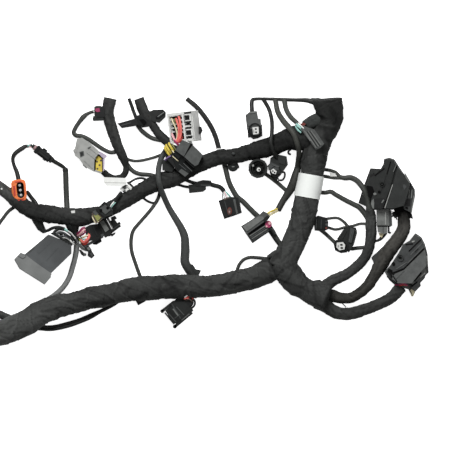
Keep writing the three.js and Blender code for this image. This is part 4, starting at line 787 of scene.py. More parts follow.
# ---- fittings at the right ----
p = fit("side_plug", "black_plastic", at=(320.5, 223.6), dir=(1, 0.12))
p.plan([(313.4, 218), (318, 215.6), (326.6, 217.6), (328.4, 222), (327.8, 229.4), (323.6, 231.4), (314.6, 230.6)], 0, 13.2, "black", 1.0)
p.plan([(318, 217.6), (325.4, 219), (325, 228.8), (317.4, 228.8)], 13, 14.8, "gloss", 0.4).strip((316.6, 218.6), (316, 229), 0.9, 13, 14.4, "slate", 0.2).strip((321.4, 219.4), (321, 228.8), 0.6, 14.6, 15.4, "slate", 0.15)
p.disc(326.2, 221.4, 1.1, 8, 14.2, "slate", 0.9, 12, 0.3).disc(326.2, 228, 1.1, 8, 14.2, "brick", 1.0, 12, 0.3).plan([(325, 223.4), (327.8, 223.6), (327.6, 225.6), (325, 225.4)], 6, 13.8, "mid", 0.3)

p = fit("oval_plug", "black_plastic", at=(346.2, 237.4), dir=(-0.42, 0.9))
p.plan([(343.6, 229.2), (349, 225.6), (356.2, 228), (357.2, 232.6), (354, 244.4), (349, 252.6), (340, 246), (337, 238.6)], 0, 14, "soft", 1.0)
p.plan([(350.4, 227.4), (354.6, 229.4), (351.4, 243), (348.4, 242)], 13.6, 16.2, "slate", 0.5).strip((351.6, 232), (349.4, 241.4), 0.7, 16, 17, "mid", 0.2).strip((346.4, 230.6), (342.4, 238.6), 0.9, 13.6, 15, "dark", 0.2)
p.plan([(333.4, 243.4), (336.2, 239.8), (342.6, 239.2), (348.2, 243.4), (349.2, 248.6), (346.8, 252.4), (341, 253.2), (335, 250.4)], 0, 15.4, "black", 0.8)
p.disc(341, 246.6, 6.9, 14, 17, "gloss", 5.9, 30, 0.4).disc(341, 246.6, 5.7, 15.6, 17.4, "hole", 4.8, 28, 0.2)
p.plan([(336.8, 242.6), (343, 242), (345.2, 245), (344.4, 249.4), (339.4, 250.4), (336.4, 247.2)], 15, 18.4, "pale", 0.6)
p.disc(341.4, 244.8, 1.5, 18, 18.8, "hole", 0.9, 12, 0).disc(341.8, 247.9, 1.5, 18, 18.8, "hole", 0.9, 12, 0).disc(338.3, 246, 0.8, 18, 18.7, "light", 1.4, 10, 0)

p = fit("light_grey_plug", "grey_plastic", at=(384, 221), dir=(0, 1))
p.plan([(376.4, 209.4), (388.4, 209.2), (391.6, 210.4), (392.2, 225.8), (376.6, 225.8)], 0, 15.4, "grey", 0.7)
p.plan([(377, 210.4), (387.6, 210.4), (387.8, 225), (377.2, 225)], 15, 16.4, "grey", 0.4).plan([(389, 210.6), (391.6, 210.8), (392, 226), (389.2, 225.8)], 3, 16, "slate", 0.4)
p.strip((385.4, 212), (385.6, 224.6), 0.8, 16, 17, "light", 0.2).plan([(376.8, 225.2), (391, 225.2), (390.8, 226.8), (377, 226.6)], 2, 14.4, "hole", 0.2)
p.plan([(377.2, 226.4), (387.6, 226.4), (387.2, 233), (384, 233.8), (377.8, 232)], 2, 14, "grey", 0.6).strip((383.2, 227), (383, 232.6), 0.6, 13.6, 14.8, "mid", 0.1)
p.plan([(387.8, 226.6), (389.6, 226.8), (389.6, 231.4), (391.4, 232.6), (390.2, 234), (387.6, 233)], 2, 12.6, "black", 0.4)
p.plan([(378.4, 232.6), (384.4, 233.4), (381.8, 237.6), (379.8, 236.4)], 2, 9, "cream", 0.5).wire([(386.2, 233, 7), (383.4, 236.6, 6), (379.6, 240, 5.4), (374.6, 241.2, 5.6)], 1.6, "soft", 10)
p.wire([(381, 236.4, 6), (379.4, 238.6, 6), (376.6, 240.6, 5.6)], 0.8, "dark").wire([(391, 217, 6), (395, 215, 6), (399, 217.4, 7)], 1.0, "black").wire([(391.6, 213.6, 8), (394.8, 215.6, 8), (397, 219.6, 8)], 0.8, "mid")

EA = [(358.2, 203), (364.2, 184.6), (370.3, 168.2), (380.6, 168.8), (383.4, 164), (384, 158.8), (389.4, 157.6), (394.6, 159.4), (397.4, 164), (403.8, 173.6), (410.8, 182.5), (414.8, 189.4), (415, 196), (412.6, 208), (410.8, 213.8), (412.9, 218.9), (402.6, 214.6), (399, 207.4), (392.6, 209.8), (384.6, 210), (373.8, 210)]
p = fit("ecu_connector_a", "dark_grey_plastic", at=(392, 186))
p.plan(EA, 0, 9, "dark", 0.9)
p.plan([(366, 186), (371, 169.6), (382, 169.6), (385, 159.4), (389.4, 158.4), (394, 160), (396.6, 165), (391, 186), (384.4, 208.6), (374.6, 208.6), (371, 200)], 8.6, 24.6, "dark", 1.0, 0.985)
p.plan([(384.8, 208.8), (392.4, 184.4), (397.6, 165.4), (403.4, 174.2), (409.8, 183), (409, 190), (404, 206), (393, 209)], 8.6, 28.4, "coal", 1.0, 0.975)
# The light strip along the lever's edge is a painted highlight; the black and near-black strips beside it paint shade
# along that ridge.
p.strip((392.6, 184.6), (384.8, 208.2), 0.75, 26, 29.4, "light", 0.15).strip((396.6, 168.4), (392.4, 184), 0.9, 24, 28.8, "black", 0.1).strip((391, 187.6), (383.4, 208), 1.0, 23, 26, "hole", 0)
p.strip((390.6, 161.6), (386.8, 174.4), 0.9, 24, 25.4, "hole", 0).strip((386.2, 175.4), (380.4, 194.6), 0.7, 24, 25.1, "black", 0).strip((396.8, 163.6), (393.2, 172), 0.8, 24.6, 26, "grey", 0.1)
p.strip((374.8, 175.8), (384.4, 168.2), 1.0, 24, 25.3, "hole", 0).plan([(370.8, 169), (380.4, 169.4), (376.4, 173.6), (370, 174.4)], 23.6, 25.2, "coal", 0.4)
p.strip((369.6, 176.4), (374.4, 173.8), 1.6, 24, 25.2, "black", 0.2).tube((382.1 - 392), -(184.4 - 186), 2.7, 0.9, 23, 26.6, "dark", 24).disc(382.1, 184.4, 1.5, 24, 26, "hole", 1.5, 16, 0).disc(382.1, 184.4, 0.8, 24, 26.4, "coal", 0.8, 12, 0.1)
p.plan([(366.6, 185.6), (372.4, 186.4), (374.4, 191.6), (370.8, 199), (368.2, 197)], 24, 25.3, "hole", 0.1).disc(374.9, 193.9, 1.6, 24, 26.4, "grey", 1.3, 14, 0.4).disc(379.2, 192, 1.4, 24, 25.6, "hole", 1.5, 14, 0.1)
p.plan([(373, 199.6), (382, 197.6), (385.6, 199.6), (382.6, 208.8), (375.8, 209)], 24, 25.2, "black", 0.2).plan([(371.4, 200.6), (373.6, 198.6), (374.2, 203), (374, 209), (372.4, 208), (371, 204)], 20, 26, "grey", 0.3)
p.strip((383.8, 199.8), (381.6, 203), 1.2, 25, 26.2, "grey", 0.2).strip((381, 204), (380.6, 209), 0.6, 25, 25.8, "coal", 0.1)
p.plan([(366, 190.6), (369.4, 196), (372.4, 207.4), (366, 206.2), (360, 203)], 8.6, 14, "soft", 0.6)
p.plan([(404.2, 172.6), (405.4, 173), (410.2, 181.4), (409.4, 184.4), (406, 178.6)], 8, 27, "grey", 0.3).plan([(402.6, 184.6), (404.4, 184), (406.6, 187), (404, 190.2)], 27.6, 29, "slate", 0.3)
p.plan([(404.8, 189), (410.4, 186.4), (414.2, 190.4), (414.4, 196), (411.6, 212.6), (403.6, 208.6)], 8.6, 20, "slate", 0.6)
for cx in (406.8, 409.4, 412):
    p.strip((cx, 189.6), (cx - 0.6, 198.2), 1.1, 19.6, 22.4, "grey", 0.3)
p.plan([(404.6, 199.2), (410.6, 199), (410, 206), (403.8, 205.6)], 19, 20.8, "black", 0.3).strip((413.9, 195.6), (411.2, 213), 1.2, 18, 22, "grey", 0.3).disc(407, 208, 1.2, 19, 21, "hole", 0.9, 12, 0)
p.strip((402.8, 190), (401.4, 206), 1.0, 19, 24, "grey", 0.2).strip((404.6, 209), (411.4, 212.4), 1.0, 9, 16, "grey", 0.3)
p.plan([(393.6, 209.4), (400, 206.6), (411.8, 213.6), (413, 218.8), (404.4, 216.6), (396, 215.4)], 8, 14.4, "hole", 0.5).plan([(392.2, 211.4), (396.6, 211.8), (398.2, 216.8), (394.8, 218.4), (392.2, 215)], 2, 11, "soft", 0.5)

EB = [(415.3, 233.1), (418.6, 235), (421.6, 237.2), (424.8, 243.6), (426.6, 250), (427.7, 255), (428, 264), (428.6, 272.4), (425.6, 275.4), (424.6, 278.4), (420.4, 282.8), (420.8, 286), (415.3, 291.6), (413.4, 296.2), (411.6, 296.6), (410.2, 293.3), (408.4, 289.4), (396, 286), (389, 280), (384.4, 271.6), (390.4, 265), (398.4, 253), (403, 244.4), (409.6, 240.6)]
p = fit("ecu_connector_b", "dark_grey_plastic", at=(408, 266))
p.plan(EB, 0, 12.6, "ash", 0.9)
p.plan([(409.6, 241.4), (415, 234.4), (421, 238), (424.4, 244.4), (424.6, 249), (410, 264.6), (403.6, 269.2), (393.6, 273), (386.4, 271.4), (392.4, 264), (399, 254), (404, 245)], 12, 25.6, "slate", 0.9, 0.985)
p.plan([(394.4, 274), (404, 269.8), (424.6, 249.4), (426.2, 256), (426.4, 266), (420, 273), (411.6, 283.6), (397.6, 283.4), (391.6, 278.8)], 12, 28.4, "ash", 0.9, 0.98)
p.strip((392.6, 272.9), (403.8, 268.6), 1.0, 25, 28.9, "hole", 0).strip((403.6, 268.8), (424.4, 248.4), 1.0, 24, 27, "hole", 0)
p.strip((408.8, 251.4), (421.2, 239.2), 1.1, 25, 26.4, "hole", 0).strip((405.4, 244.6), (412.8, 243.8), 1.2, 25, 26.3, "hole", 0).strip((415, 252), (418.4, 248.6), 0.8, 25, 26.3, "black", 0)
p.strip((407.4, 263.4), (423, 247.6), 0.8, 25, 26.5, "ash", 0.2).strip((410.6, 254.8), (422.4, 242.8), 0.9, 25, 26.4, "ash", 0.2).strip((396.4, 269), (407, 262), 0.9, 25, 26.4, "ash", 0.2)
p.tube(400.3 - 408, -(257.7 - 266), 3.6, 1.0, 24.6, 27.4, "slate", 26).disc(400.2, 257.7, 1.7, 25, 26.5, "hole", 1.2, 14, 0).disc(393.6, 264, 1.6, 25, 26.2, "hole", 2.0, 14, 0)
p.plan([(388.6, 268.2), (392.6, 270.4), (392.4, 272.4), (387.4, 271.6)], 25, 26.2, "hole", 0.1).plan([(411.6, 241.2), (414.6, 240.4), (414.4, 242), (412, 242.4)], 25, 26.8, "light", 0.2)
p.strip((394.4, 281), (404.4, 270.8), 0.5, 28, 28.8, "slate", 0).strip((392.4, 275), (397, 282), 1.2, 26, 28.4, "slate", 0.3)
p.strip((387, 276.2), (395.4, 284.6), 1.4, 9, 14.8, "black", 0.3).wire([(395.6, 285, 15), (399.6, 284.2, 19), (403.6, 283.4, 20), (407.4, 285.4, 17)], 1.0, "magenta", 8)
p.wire([(396.4, 286.4, 12), (401, 285.2, 17), (405, 284.8, 18), (408.4, 287, 14)], 0.9, "red", 8).plan([(403, 283.6), (408.6, 284.4), (408.4, 288), (404, 286.6)], 12, 17, "ash", 0.4)
p.plan([(413.2, 276.4), (424.4, 266.4), (426.4, 272.4), (418, 282), (413.6, 285.6), (410.8, 282.6)], 12, 22, "grey", 0.5)
for a, b, mt in (((419.8, 269.4), (426.2, 265.4), "hole"), ((414.4, 281.4), (421.4, 272.6), "hole"), ((417, 282.2), (424.6, 274.6), "slate"), ((420.4, 277.6), (425, 272.8), "light"), ((411.6, 286.6), (417.6, 281.6), "hole"), ((427, 256), (427.6, 264), "light")):
    p.strip(a, b, 1.3, 20, 23, mt, 0.15)
p.plan([(412, 284.4), (417.8, 280.4), (420.4, 283), (415, 290.4), (411.8, 289)], 12, 18, "ash", 0.5)
p.plan([(410.8, 288.6), (414.8, 291.2), (413.2, 296.6), (411.4, 296.4), (410.2, 293)], 3, 13.4, "cream", 0.5).strip((410.8, 291.6), (412.4, 295.8), 0.9, 13, 14, "slate", 0.2)

# ---- fittings at the lower left ----
HS = [(48.5, 234.4), (71.4, 244), (71.4, 253.5), (51, 273.4), (36, 266), (24.4, 254.4), (33.4, 247)]
FL = [(14, 259.4), (20.6, 252.6), (24.6, 254), (37, 263.4), (51, 273.2), (50.8, 277.4), (44.5, 284.6), (19.4, 268.8)]
p = fit("housing", "dark_grey_plastic")
p.plan(HS, 23.4, 27, "shell", 0.8).plan(HS, 0, 4.4, "shell", 0.5).plan(FL, 0, 4.4, "flange", 0.6)
p.strip((25.6, 255.6), (49.4, 235.6), 2.2, 0.4, 26, "shell", 0.3).strip((70.6, 252.6), (50.6, 271.8), 2.2, 0.4, 26, "shell", 0.3)
p.plan([(37.4, 248.8), (49, 236), (70.4, 245), (70.4, 252), (57.2, 262)], 4, 24, "dark", 0.3)
p.plan([(14, 259.4), (20.6, 252.6), (24.6, 254.6), (18, 261.8)], 0.4, 27.6, "flange", 0.6).plan([(51, 273), (50.8, 277.4), (44.5, 284.4), (41.8, 282.8), (47.8, 272)], 0.4, 27.6, "flange", 0.6)
p.plan(FL, 23.8, 28.2, "flange", 0.8)
p.plan([(14.6, 259.6), (17.2, 257), (31, 268.4), (47.2, 281.2), (44.5, 284), (20, 268.6)], 27.6, 29.6, "flange", 0.7).plan([(20.4, 253), (24.4, 254.4), (25.6, 256.8), (22.6, 258.4), (18.4, 256)], 27.6, 29.2, "flange", 0.6)
for t in range(4):
    a = (31 + 4.4 * t, 262.4 - 3.7 * t)
    p.strip(a, (a[0] + 15.4, a[1] + 11.4), 0.9, 6 + 0.2 * t, 7, "flange", 0.1)
p.strip((26, 256.4), (51.4, 274.6), 1.4, 26.4, 27.7, "mid", 0.4).strip((28.6, 252.6), (33.8, 247.6), 1.0, 26.6, 27.6, "mid", 0.3)
p.plan([(37.4, 252.4), (50.4, 240), (52, 241.4), (39, 253.8)], 26.6, 27.3, "shell", 0.2).strip((58.4, 247.4), (46, 260.6), 0.7, 26.8, 27.4, "shell", 0.2)
p.plan([(21.6, 254), (24.2, 254), (26.2, 256), (24, 258.2), (20.2, 256.4)], 24, 28.8, "mid", 0.4)
p.plan([(50.2, 233.4), (54, 232), (73.6, 242.6), (71.6, 246), (66, 242.6)], 2, 25.6, "black", 0.6)
for k in range(7):
    a = (52.4 + 2.9 * k, 232.4 + 1.62 * k)
    p.strip(a, (a[0] + 2.4, a[1] + 3.2), 1.3, 20, 28, "soft", 0.4)
p.plan([(64.6, 236.4), (68, 234.8), (74.6, 240.2), (72.6, 242.4)], 6, 22, "black", 0.6).plan([(58.4, 233.6), (61.2, 232.6), (63, 235), (60.6, 236)], 8, 22, "soft", 0.4)
for k, (pts, r, mt) in enumerate((
    ([(54, 232.6, 23), (56.6, 230, 22), (60.4, 229, 17), (64, 229.6, 15)], 1.9, "soft"),
    ([(56, 234.6, 24), (58.6, 232.6, 24), (62.4, 232.8, 21), (66.4, 235, 19), (72, 239.4, 16)], 1.8, "shell"),
    ([(64.4, 229.6, 15), (66.8, 231, 16), (70, 233.4, 15.6), (73.8, 237, 14), (77, 241, 12)], 1.5, "mid"),
    ([(59, 236.4, 25), (63.6, 236, 26), (68.4, 238.6, 25), (73.6, 243.2, 20)], 1.2, "shell"),
    ([(61, 238, 26), (66, 238.2, 27), (70.8, 241.4, 26), (74.6, 244.4, 20)], 0.8, "light"),
    ([(69.6, 240, 26), (71.4, 241.8, 26.4), (73.6, 244.2, 24)], 1.1, "pale"),
    ([(64.2, 228.8, 16.4), (65.8, 229.9, 17.4), (67.6, 231.2, 17)], 1.5, "teal"),
    ([(67.6, 231, 17), (70.4, 232.6, 17), (75.6, 238.4, 14)], 0.8, "pale"),
    ([(44.5, 231.6, 6), (48.6, 230.2, 12), (53, 228, 17), (58.7, 227.2, 18), (64.2, 228.8, 16.4)], 1.9, "soft"),
)):
    p.wire(pts, r, mt, 10)

p = fit("small_low_plug", "black_plastic", at=(87.2, 251.8), dir=(0.72, 0.69))
p.plan([(79.2, 243.6), (83.4, 242.8), (88.6, 247.6), (85.8, 251.4), (81.4, 249.6), (78.6, 246.4)], 0, 10, "mid", 0.7)
p.plan([(84.6, 246.6), (88.6, 245.4), (91.8, 250), (90, 252.2), (86.4, 251.4)], 0, 11.8, "soft", 0.6).plan([(86.6, 247.6), (89, 247.2), (90.4, 249.8), (88.2, 250.4)], 11.4, 12.6, "grey", 0.3)
p.plan([(88, 251.8), (91.4, 250.4), (94.8, 255.4), (91.6, 258.6), (87.6, 256)], 0, 11.6, "black", 0.7).plan([(89.6, 253.4), (91.8, 252.6), (93.4, 255.4), (91.4, 256.8)], 11.2, 12.2, "slate", 0.3)
p.plan([(78.6, 249.4), (81.4, 250), (84.6, 253.6), (84, 256.6), (81.2, 254.6)], 0, 8, "black", 0.5).disc(85, 254.6, 1.4, 4, 10, "mid", 1.6, 14, 0.4).strip((80.6, 245), (84.6, 248.6), 0.9, 9.6, 10.8, "grey", 0.2)

p = fit("red_wire_plug", "black_plastic", at=(101, 231.6), dir=(0.918, -0.397))
p.plan([(85, 227.6), (90, 224.8), (98.8, 223.6), (105, 235.4), (96.4, 240.2), (88.6, 241), (85.6, 234)], 0, 15.6, "black", 0.9)
p.plan([(97.4, 222.4), (103.6, 217.6), (106, 218.4), (113, 231.4), (110.4, 236.2), (104.4, 237)], 0, 16.6, "black", 0.8)
p.plan([(99.6, 222.4), (103.6, 220.2), (109.2, 229.4), (105.4, 232.2)], 16, 18.2, "grey", 0.5).strip((104.6, 219.2), (112.2, 231.2), 1.6, 16, 18.6, "black", 0.3)
p.plan([(106.4, 218.4), (108.6, 217.6), (114.4, 227.4), (112.4, 229.2)], 3, 11, "pale", 0.4).plan([(106.4, 218.2), (108.4, 217.4), (109.4, 219.6), (107.4, 220.6)], 10, 14, "mid", 0.3)
p.plan([(110.6, 217.4), (115, 215.6), (117, 218.4), (114, 220.4), (111.6, 221)], 0, 14, "black", 0.6).plan([(109.6, 221), (114.6, 219.4), (117.4, 223), (119.6, 221.4), (121, 224), (113.6, 228.6)], 1, 13, "black", 0.6)
p.strip((120.2, 225), (104.6, 236.6), 3.2, 0, 13.6, "black", 0.7).strip((119.6, 224.4), (112, 230), 0.8, 13.2, 14.6, "slate", 0.2).strip((110.4, 231.6), (104.4, 236), 0.9, 13.2, 14.8, "mid", 0.2)
p.plan([(110, 234.6), (115.6, 232.2), (115.2, 234), (112, 236.8)], 0, 9, "black", 0.5).plan([(92.4, 241.8), (101, 238.6), (101.8, 241.6), (96.6, 244.8), (93, 244.4)], 0, 9, "black", 0.8)
# The thin grey and pale strips along the slate rail are painted highlights.
p.strip((103, 236.4), (84.6, 246.6), 2.4, 2, 12.6, "slate", 0.6).strip((100.4, 236.4), (88, 243.4), 0.8, 12.2, 13.6, "grey", 0.2).strip((98.6, 239.6), (92.6, 243), 0.7, 8.8, 9.8, "pale", 0.2)
p.plan([(100.4, 234.6), (103.2, 233.4), (104.6, 236), (101.6, 237.4)], 12, 16.8, "slate", 0.4).strip((93, 226.6), (97.4, 236), 0.9, 15.2, 16.4, "dark", 0.2).strip((88.6, 229), (92, 237.6), 0.9, 15.2, 16.3, "dark", 0.2)
for pts, r, mt in (
    ([(77, 234.6, 8), (79.8, 231.6, 13), (82.4, 228.4, 15), (84.8, 227.6, 14)], 1.3, "magenta"),
    ([(77.6, 236, 8), (80.6, 233.6, 14), (83.4, 230.6, 16), (85.6, 229.4, 14)], 1.45, "pink"),
    ([(79.4, 236, 8), (82.6, 234.6, 13), (85.4, 231.8, 15), (87, 230.6, 13)], 1.1, "magenta"),
    ([(81, 238.4, 8), (84.6, 236.6, 14), (88, 235, 15), (89.6, 233.4, 14)], 1.1, "cream"),
    ([(81, 240, 8), (83.6, 242.4, 13), (87.4, 239.4, 16), (89.4, 236, 15), (88.4, 233.6, 14)], 1.7, "salmon"),
    ([(82, 243, 8), (84.6, 244.2, 12), (87.6, 241.4, 14), (90.2, 238.4, 13)], 1.7, "red"),
    ([(80.6, 236.6, 7), (83, 239.4, 11.6), (85.4, 238.8, 14)], 0.8, "teal"),
    ([(79, 238, 6), (80.6, 241.4, 9), (82.4, 244, 9)], 1.2, "olive"),
):
    p.wire(pts, r, mt, 8)

p = fit("olive_plug", "dark_grey_plastic", at=(102.6, 211.2), dir=(-0.72, 0.69), z=21.4)
p.plan([(104.6, 201.2), (112.4, 209.4), (113, 214.4), (104.8, 217), (95.6, 209.6)], 21.4, 32, "soft", 0.8)
p.plan([(99.4, 208.6), (105.2, 204.4), (110.8, 210), (105.4, 214.4)], 31.6, 33.2, "mid", 0.5).disc(100.9, 210.3, 1.5, 31, 33.6, "hole", 1.5, 16, 0).disc(107.6, 208, 1.4, 31, 33.6, "hole", 1.5, 16, 0)
p.strip((96.2, 209.8), (104, 216.8), 1.2, 31, 33, "black", 0.2).plan([(104, 202), (106.6, 203.6), (104.2, 206), (102, 204)], 31, 33, "black", 0.3).strip((109.6, 206.6), (112.6, 210.6), 1.0, 30, 33, "slate", 0.2)
p.plan([(91.6, 213.6), (95.4, 209.8), (104, 217.6), (99.8, 221.6), (95.8, 224)], 21.8, 30.4, "brown", 0.7).plan([(92.4, 211.8), (95.6, 209.8), (99.4, 213.4), (95.4, 215.6)], 30, 31.4, "mid", 0.4)
p.plan([(93.4, 215.2), (97, 213.8), (101, 217.6), (97.4, 221.6)], 30, 31.2, "olive", 0.4).wire([(92.4, 216, 27), (92.8, 218, 29.6), (94.4, 221.2, 30.4), (96, 223, 29.6), (98.6, 221.4, 30)], 0.75, "cream")
p.strip((97.6, 219.6), (105, 217.6), 1.0, 28, 30.6, "slate", 0.3).wire([(110.4, 205.8, 28), (113, 202.6, 27), (115.2, 199.8, 25), (121.2, 192.4, 18)], 1.9, "soft", 10)
p.wire([(110.4, 206.4, 29.6), (111.6, 204.6, 30.2), (114, 201.8, 29)], 0.8, "white").wire([(111.4, 207.2, 29), (113, 205, 30), (115.6, 202.4, 28)], 0.7, "teal")

p = fit("lower_plug", "black_plastic", at=(178.4, 311.2), dir=(-0.78, 0.63))
p.plan([(165.4, 311), (173.6, 301.6), (184.6, 301.6), (191.6, 309), (176.4, 323.4), (173.4, 323.8)], 0, 16.4, "soft", 0.9)
p.plan([(173.6, 301.2), (184.2, 291), (193.6, 299.6), (193.4, 304.6), (190, 308.4), (182, 308)], 0, 14.4, "soft", 0.9).plan([(183.6, 298.6), (193, 298.4), (193.8, 303), (189.6, 306.6), (184.6, 305.6)], 14, 16, "black", 0.5)
# The thin grey, mid and slate strips that stand on the black top are painted highlights.
p.strip((162.2, 311.2), (174.4, 301.6), 3.2, 4, 15.4, "soft", 0.9).disc(162.2, 311.2, 1.9, 4, 15.4, "soft", 1.9, 16, 0.6).strip((174.6, 326.8), (192, 312.2), 3.2, 4, 15.6, "soft", 0.9).disc(174.8, 326.6, 1.9, 4, 15.6, "soft", 1.9, 16, 0.6).strip((181.6, 320.2), (189.4, 313.8), 0.8, 15.4, 16.6, "grey", 0.2)
p.plan([(176.2, 317.6), (191.4, 306.4), (193.4, 310.8), (178.6, 321.6)], 2, 15.8, "dark", 0.6).strip((163.2, 311.8), (173, 304), 0.7, 15.2, 16.4, "slate", 0.2)
p.strip((173, 308.8), (178.2, 315.8), 1.3, 16, 18, "grey", 0.3).strip((171.6, 303.6), (180.6, 318.6), 1.2, 16, 17.6, "slate", 0.3).strip((168.4, 308), (177.2, 320.4), 1.6, 15.8, 17, "black", 0.3)
p.strip((164.8, 312.6), (174.2, 324.2), 1.6, 3, 13, "slate", 0.3).strip((168.6, 313.6), (176, 322), 0.8, 16, 17, "mid", 0.2).strip((176.4, 306.8), (184, 315), 0.9, 16, 17.2, "mid", 0.2).strip((174.6, 318.4), (180, 314.2), 1.0, 16, 17.4, "slate", 0.2)
p.wire([(184.6, 297.2, 20), (187.6, 294.6, 22.4), (191.4, 292.2, 21)], 1.25, "white").wire([(184.4, 298.6, 18), (187.6, 297, 20.4), (191.6, 296.2, 19), (192.6, 299, 16)], 1.15, "red").wire([(185.4, 300, 17), (189, 299, 19), (192, 301.4, 16)], 1.1, "brown")
p.wire([(192.8, 298.6, 16), (194.8, 301.4, 14), (194.4, 305.4, 12), (191.4, 308.4, 11)], 1.3, "slate", 10).wire([(184.6, 299.2, 19), (186.4, 298.2, 20.4), (188.4, 298.6, 19.4)], 0.8, "salmon")

p = fit("edge_clip", "black_plastic", at=(126, 122.6), dir=(0.97, -0.24))
p.plan([(116.6, 123.6), (133, 119), (140.6, 118.6), (140.8, 123), (134.6, 126.2), (121.8, 128.2), (119.4, 125.4)], 3, 11, "black", 0.8)
p.strip((121.4, 125.4), (131, 122.8), 1.0, 10.6, 12, "slate", 0.3).plan([(136.6, 117.6), (141, 117), (146, 121), (143.6, 126.6), (138.6, 124.6)], 3, 12.6, "gloss", 0.6).plan([(139.4, 119.6), (143.6, 119), (146.6, 122.4), (143.6, 125.6)], 12, 13.4, "hole", 0.2)
p = fit("capped_ear", "black_plastic", at=(157.2, 116.6), dir=(1, -0.12))
p.plan([(147, 112.4), (154, 109.6), (163, 109.4), (165.8, 112), (165.6, 117), (159.4, 123), (152.4, 121.4)], 0, 11.6, "soft", 1.6)
p.plan([(155.6, 117), (163.6, 110.8), (165.2, 113.4), (158.6, 119)], 11, 12.6, "gloss", 0.4).strip((157.6, 116.8), (164, 112.2), 0.9, 12.2, 13.2, "grey", 0.2).strip((156, 118.4), (160, 117.4), 1.4, 11.4, 12.4, "hole", 0)

BITS = Piece("look_loose_bits", "black_plastic")
p = BITS
p.wire([(150, 182.6, 8), (143, 178.4, 9), (136, 179, 8), (129.4, 182.6, 8)], 1.5, "soft", 10).wire([(127.4, 182.2, 9), (130.2, 184.4, 9.6), (133.4, 188, 9)], 1.6, "black", 10)
p.wire([(290.6, 149.6, 18), (288.4, 151.4, 20), (288.6, 153.6, 19), (290.4, 154.4, 17)], 1.3, "black", 10)
p.wire([(128.9, 98.4, 3), (131, 104, 2.6), (133.4, 111, 3.4), (136.4, 118.6, 6)], 2.2, "soft", 10)
p.plan([(133.6, 116.4), (145, 113.4), (152.6, 117), (151, 126.4), (142, 127.8), (136, 124)], 3, 11.4, "black", 1.0).wire([(141.5, 196.6, 12), (148, 201.4, 3), (153, 203, 2.4), (156, 202.6, 3)], 1.5, "soft", 10)
p.wire([(341, 302, 8), (343.6, 304.6, 3.4), (346, 307, 1.2)], 0.55, "soft").plan([(335.6, 173.4), (329.6, 172.4), (330.4, 176.6), (336, 176.4)], 2, 5.4, "pale", 0.4)
p.plan([(134.4, 298.6), (138.2, 305.4), (145.8, 301.2), (147, 297.6)], 0, 10, "black", 0.8)
p.wire([(232.6, 153.6, 19), (233.4, 153.9, 20.1), (234.2, 153.6, 19)], 1.4, "slate", 12)
TIES = Piece("look_white_ties", "white_label")
p = TIES
p.disc(1.6, 188.8, 1.0, 12, 15.2, "pale", 1.0, 12, 0.3)
p.plan([(216.6, 148.4), (221.4, 148.2), (222, 151.4), (217, 151.6)], 2, 7.4, "white", 0.6).plan([(71, 210.8), (75, 210.4), (75, 213), (71.4, 213.2)], 14, 20.6, "pale", 0.6)

made = {name: p.done(*p.nodes) for name, p in P.items()}
BITS.done()
TIES.done()

# the white sleeve on the riser
SLEEVE = [[306.9, 197.6, 26.2, 14.2], [307.7, 193, 26.1, 14.1], [309.1, 187, 26, 14], [310.3, 181, 25.8, 13.9], [311.4, 174.8, 25.6, 13.8]]
paper = cloth("printed_sleeve", "#e6e9e6", 0.5, 0.2, 0.0, 0.012)
paper.node_tree.nodes["Principled BSDF"].inputs["Emission Color"].default_value = (1, 1, 1, 1)
paper.node_tree.nodes["Principled BSDF"].inputs["Emission Strength"].default_value = 0.0
sweep("look_label_sleeve", SLEEVE, paper, "white_label", sides=56, step=0.0009, pitch=1.0, turn=0.0, wrinkle=0.05, caps=(False, False), replaces=("label_sleeve",))

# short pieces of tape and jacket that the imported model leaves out
for name, route, mat, slot_name in (
    ("look_sleeve_low", [[27, 191.5, 4, 5], [31, 197, 4], [35.6, 203, 4.2], [37.6, 207.6, 4.2, 4]], LEAD_BLACK, "black_tube"),
    ("look_stub_left", [[-27, 306, 8], [-12, 310, 8], [0, 314.5, 8], [10, 319, 8, 9], [16, 323, 7, 12]], TAPE, "cloth_tape"),
    ("look_shoulder", [[323, 119, 15, 14], [314, 121, 13, 20], [305, 125.4, 10, 26]], TAPE_IN_SHADE, "cloth_tape"),
    ("look_gusset", [[323, 104, 12, 16], [317, 101.6, 7.6, 14], [311, 100, 4.4, 12]], TAPE_IN_SHADE, "cloth_tape"),
    ("look_junction_lump_b", [[291, 283, 18, 14], [299, 277.6, 13, 13], [304.4, 274.8, 7, 11]], TAPE, "cloth_tape"),
    ("look_junction_lump_c", [[307, 293, 18, 14], [315, 286.6, 13, 13], [321, 282.4, 7, 10]], TAPE, "cloth_tape"),
    ("look_junction_lump", [[284, 251.4, 9, 12], [276, 254, 7.6, 8], [268, 257.2, 4, 4]], TAPE, "cloth_tape"),
    ("look_loop_second", [[120, 297.4, 3], [113, 303.8, 3], [103, 309.6, 3], [92, 314.2, 3], [80, 319.4, 3], [66, 323.6, 3, 3], [54, 326.4, 3, 3], [44, 326.4, 3, 4], [37, 323, 3, 6]], LEAD_BLACK, "black_tube"),
):
    T[name] = sweep(name, route, mat, slot_name, turn=0.00012, wrinkle=0.6, fold=0.0003 if route[0][2] > 7 else 0.0, seed=len(name) * 1.3)


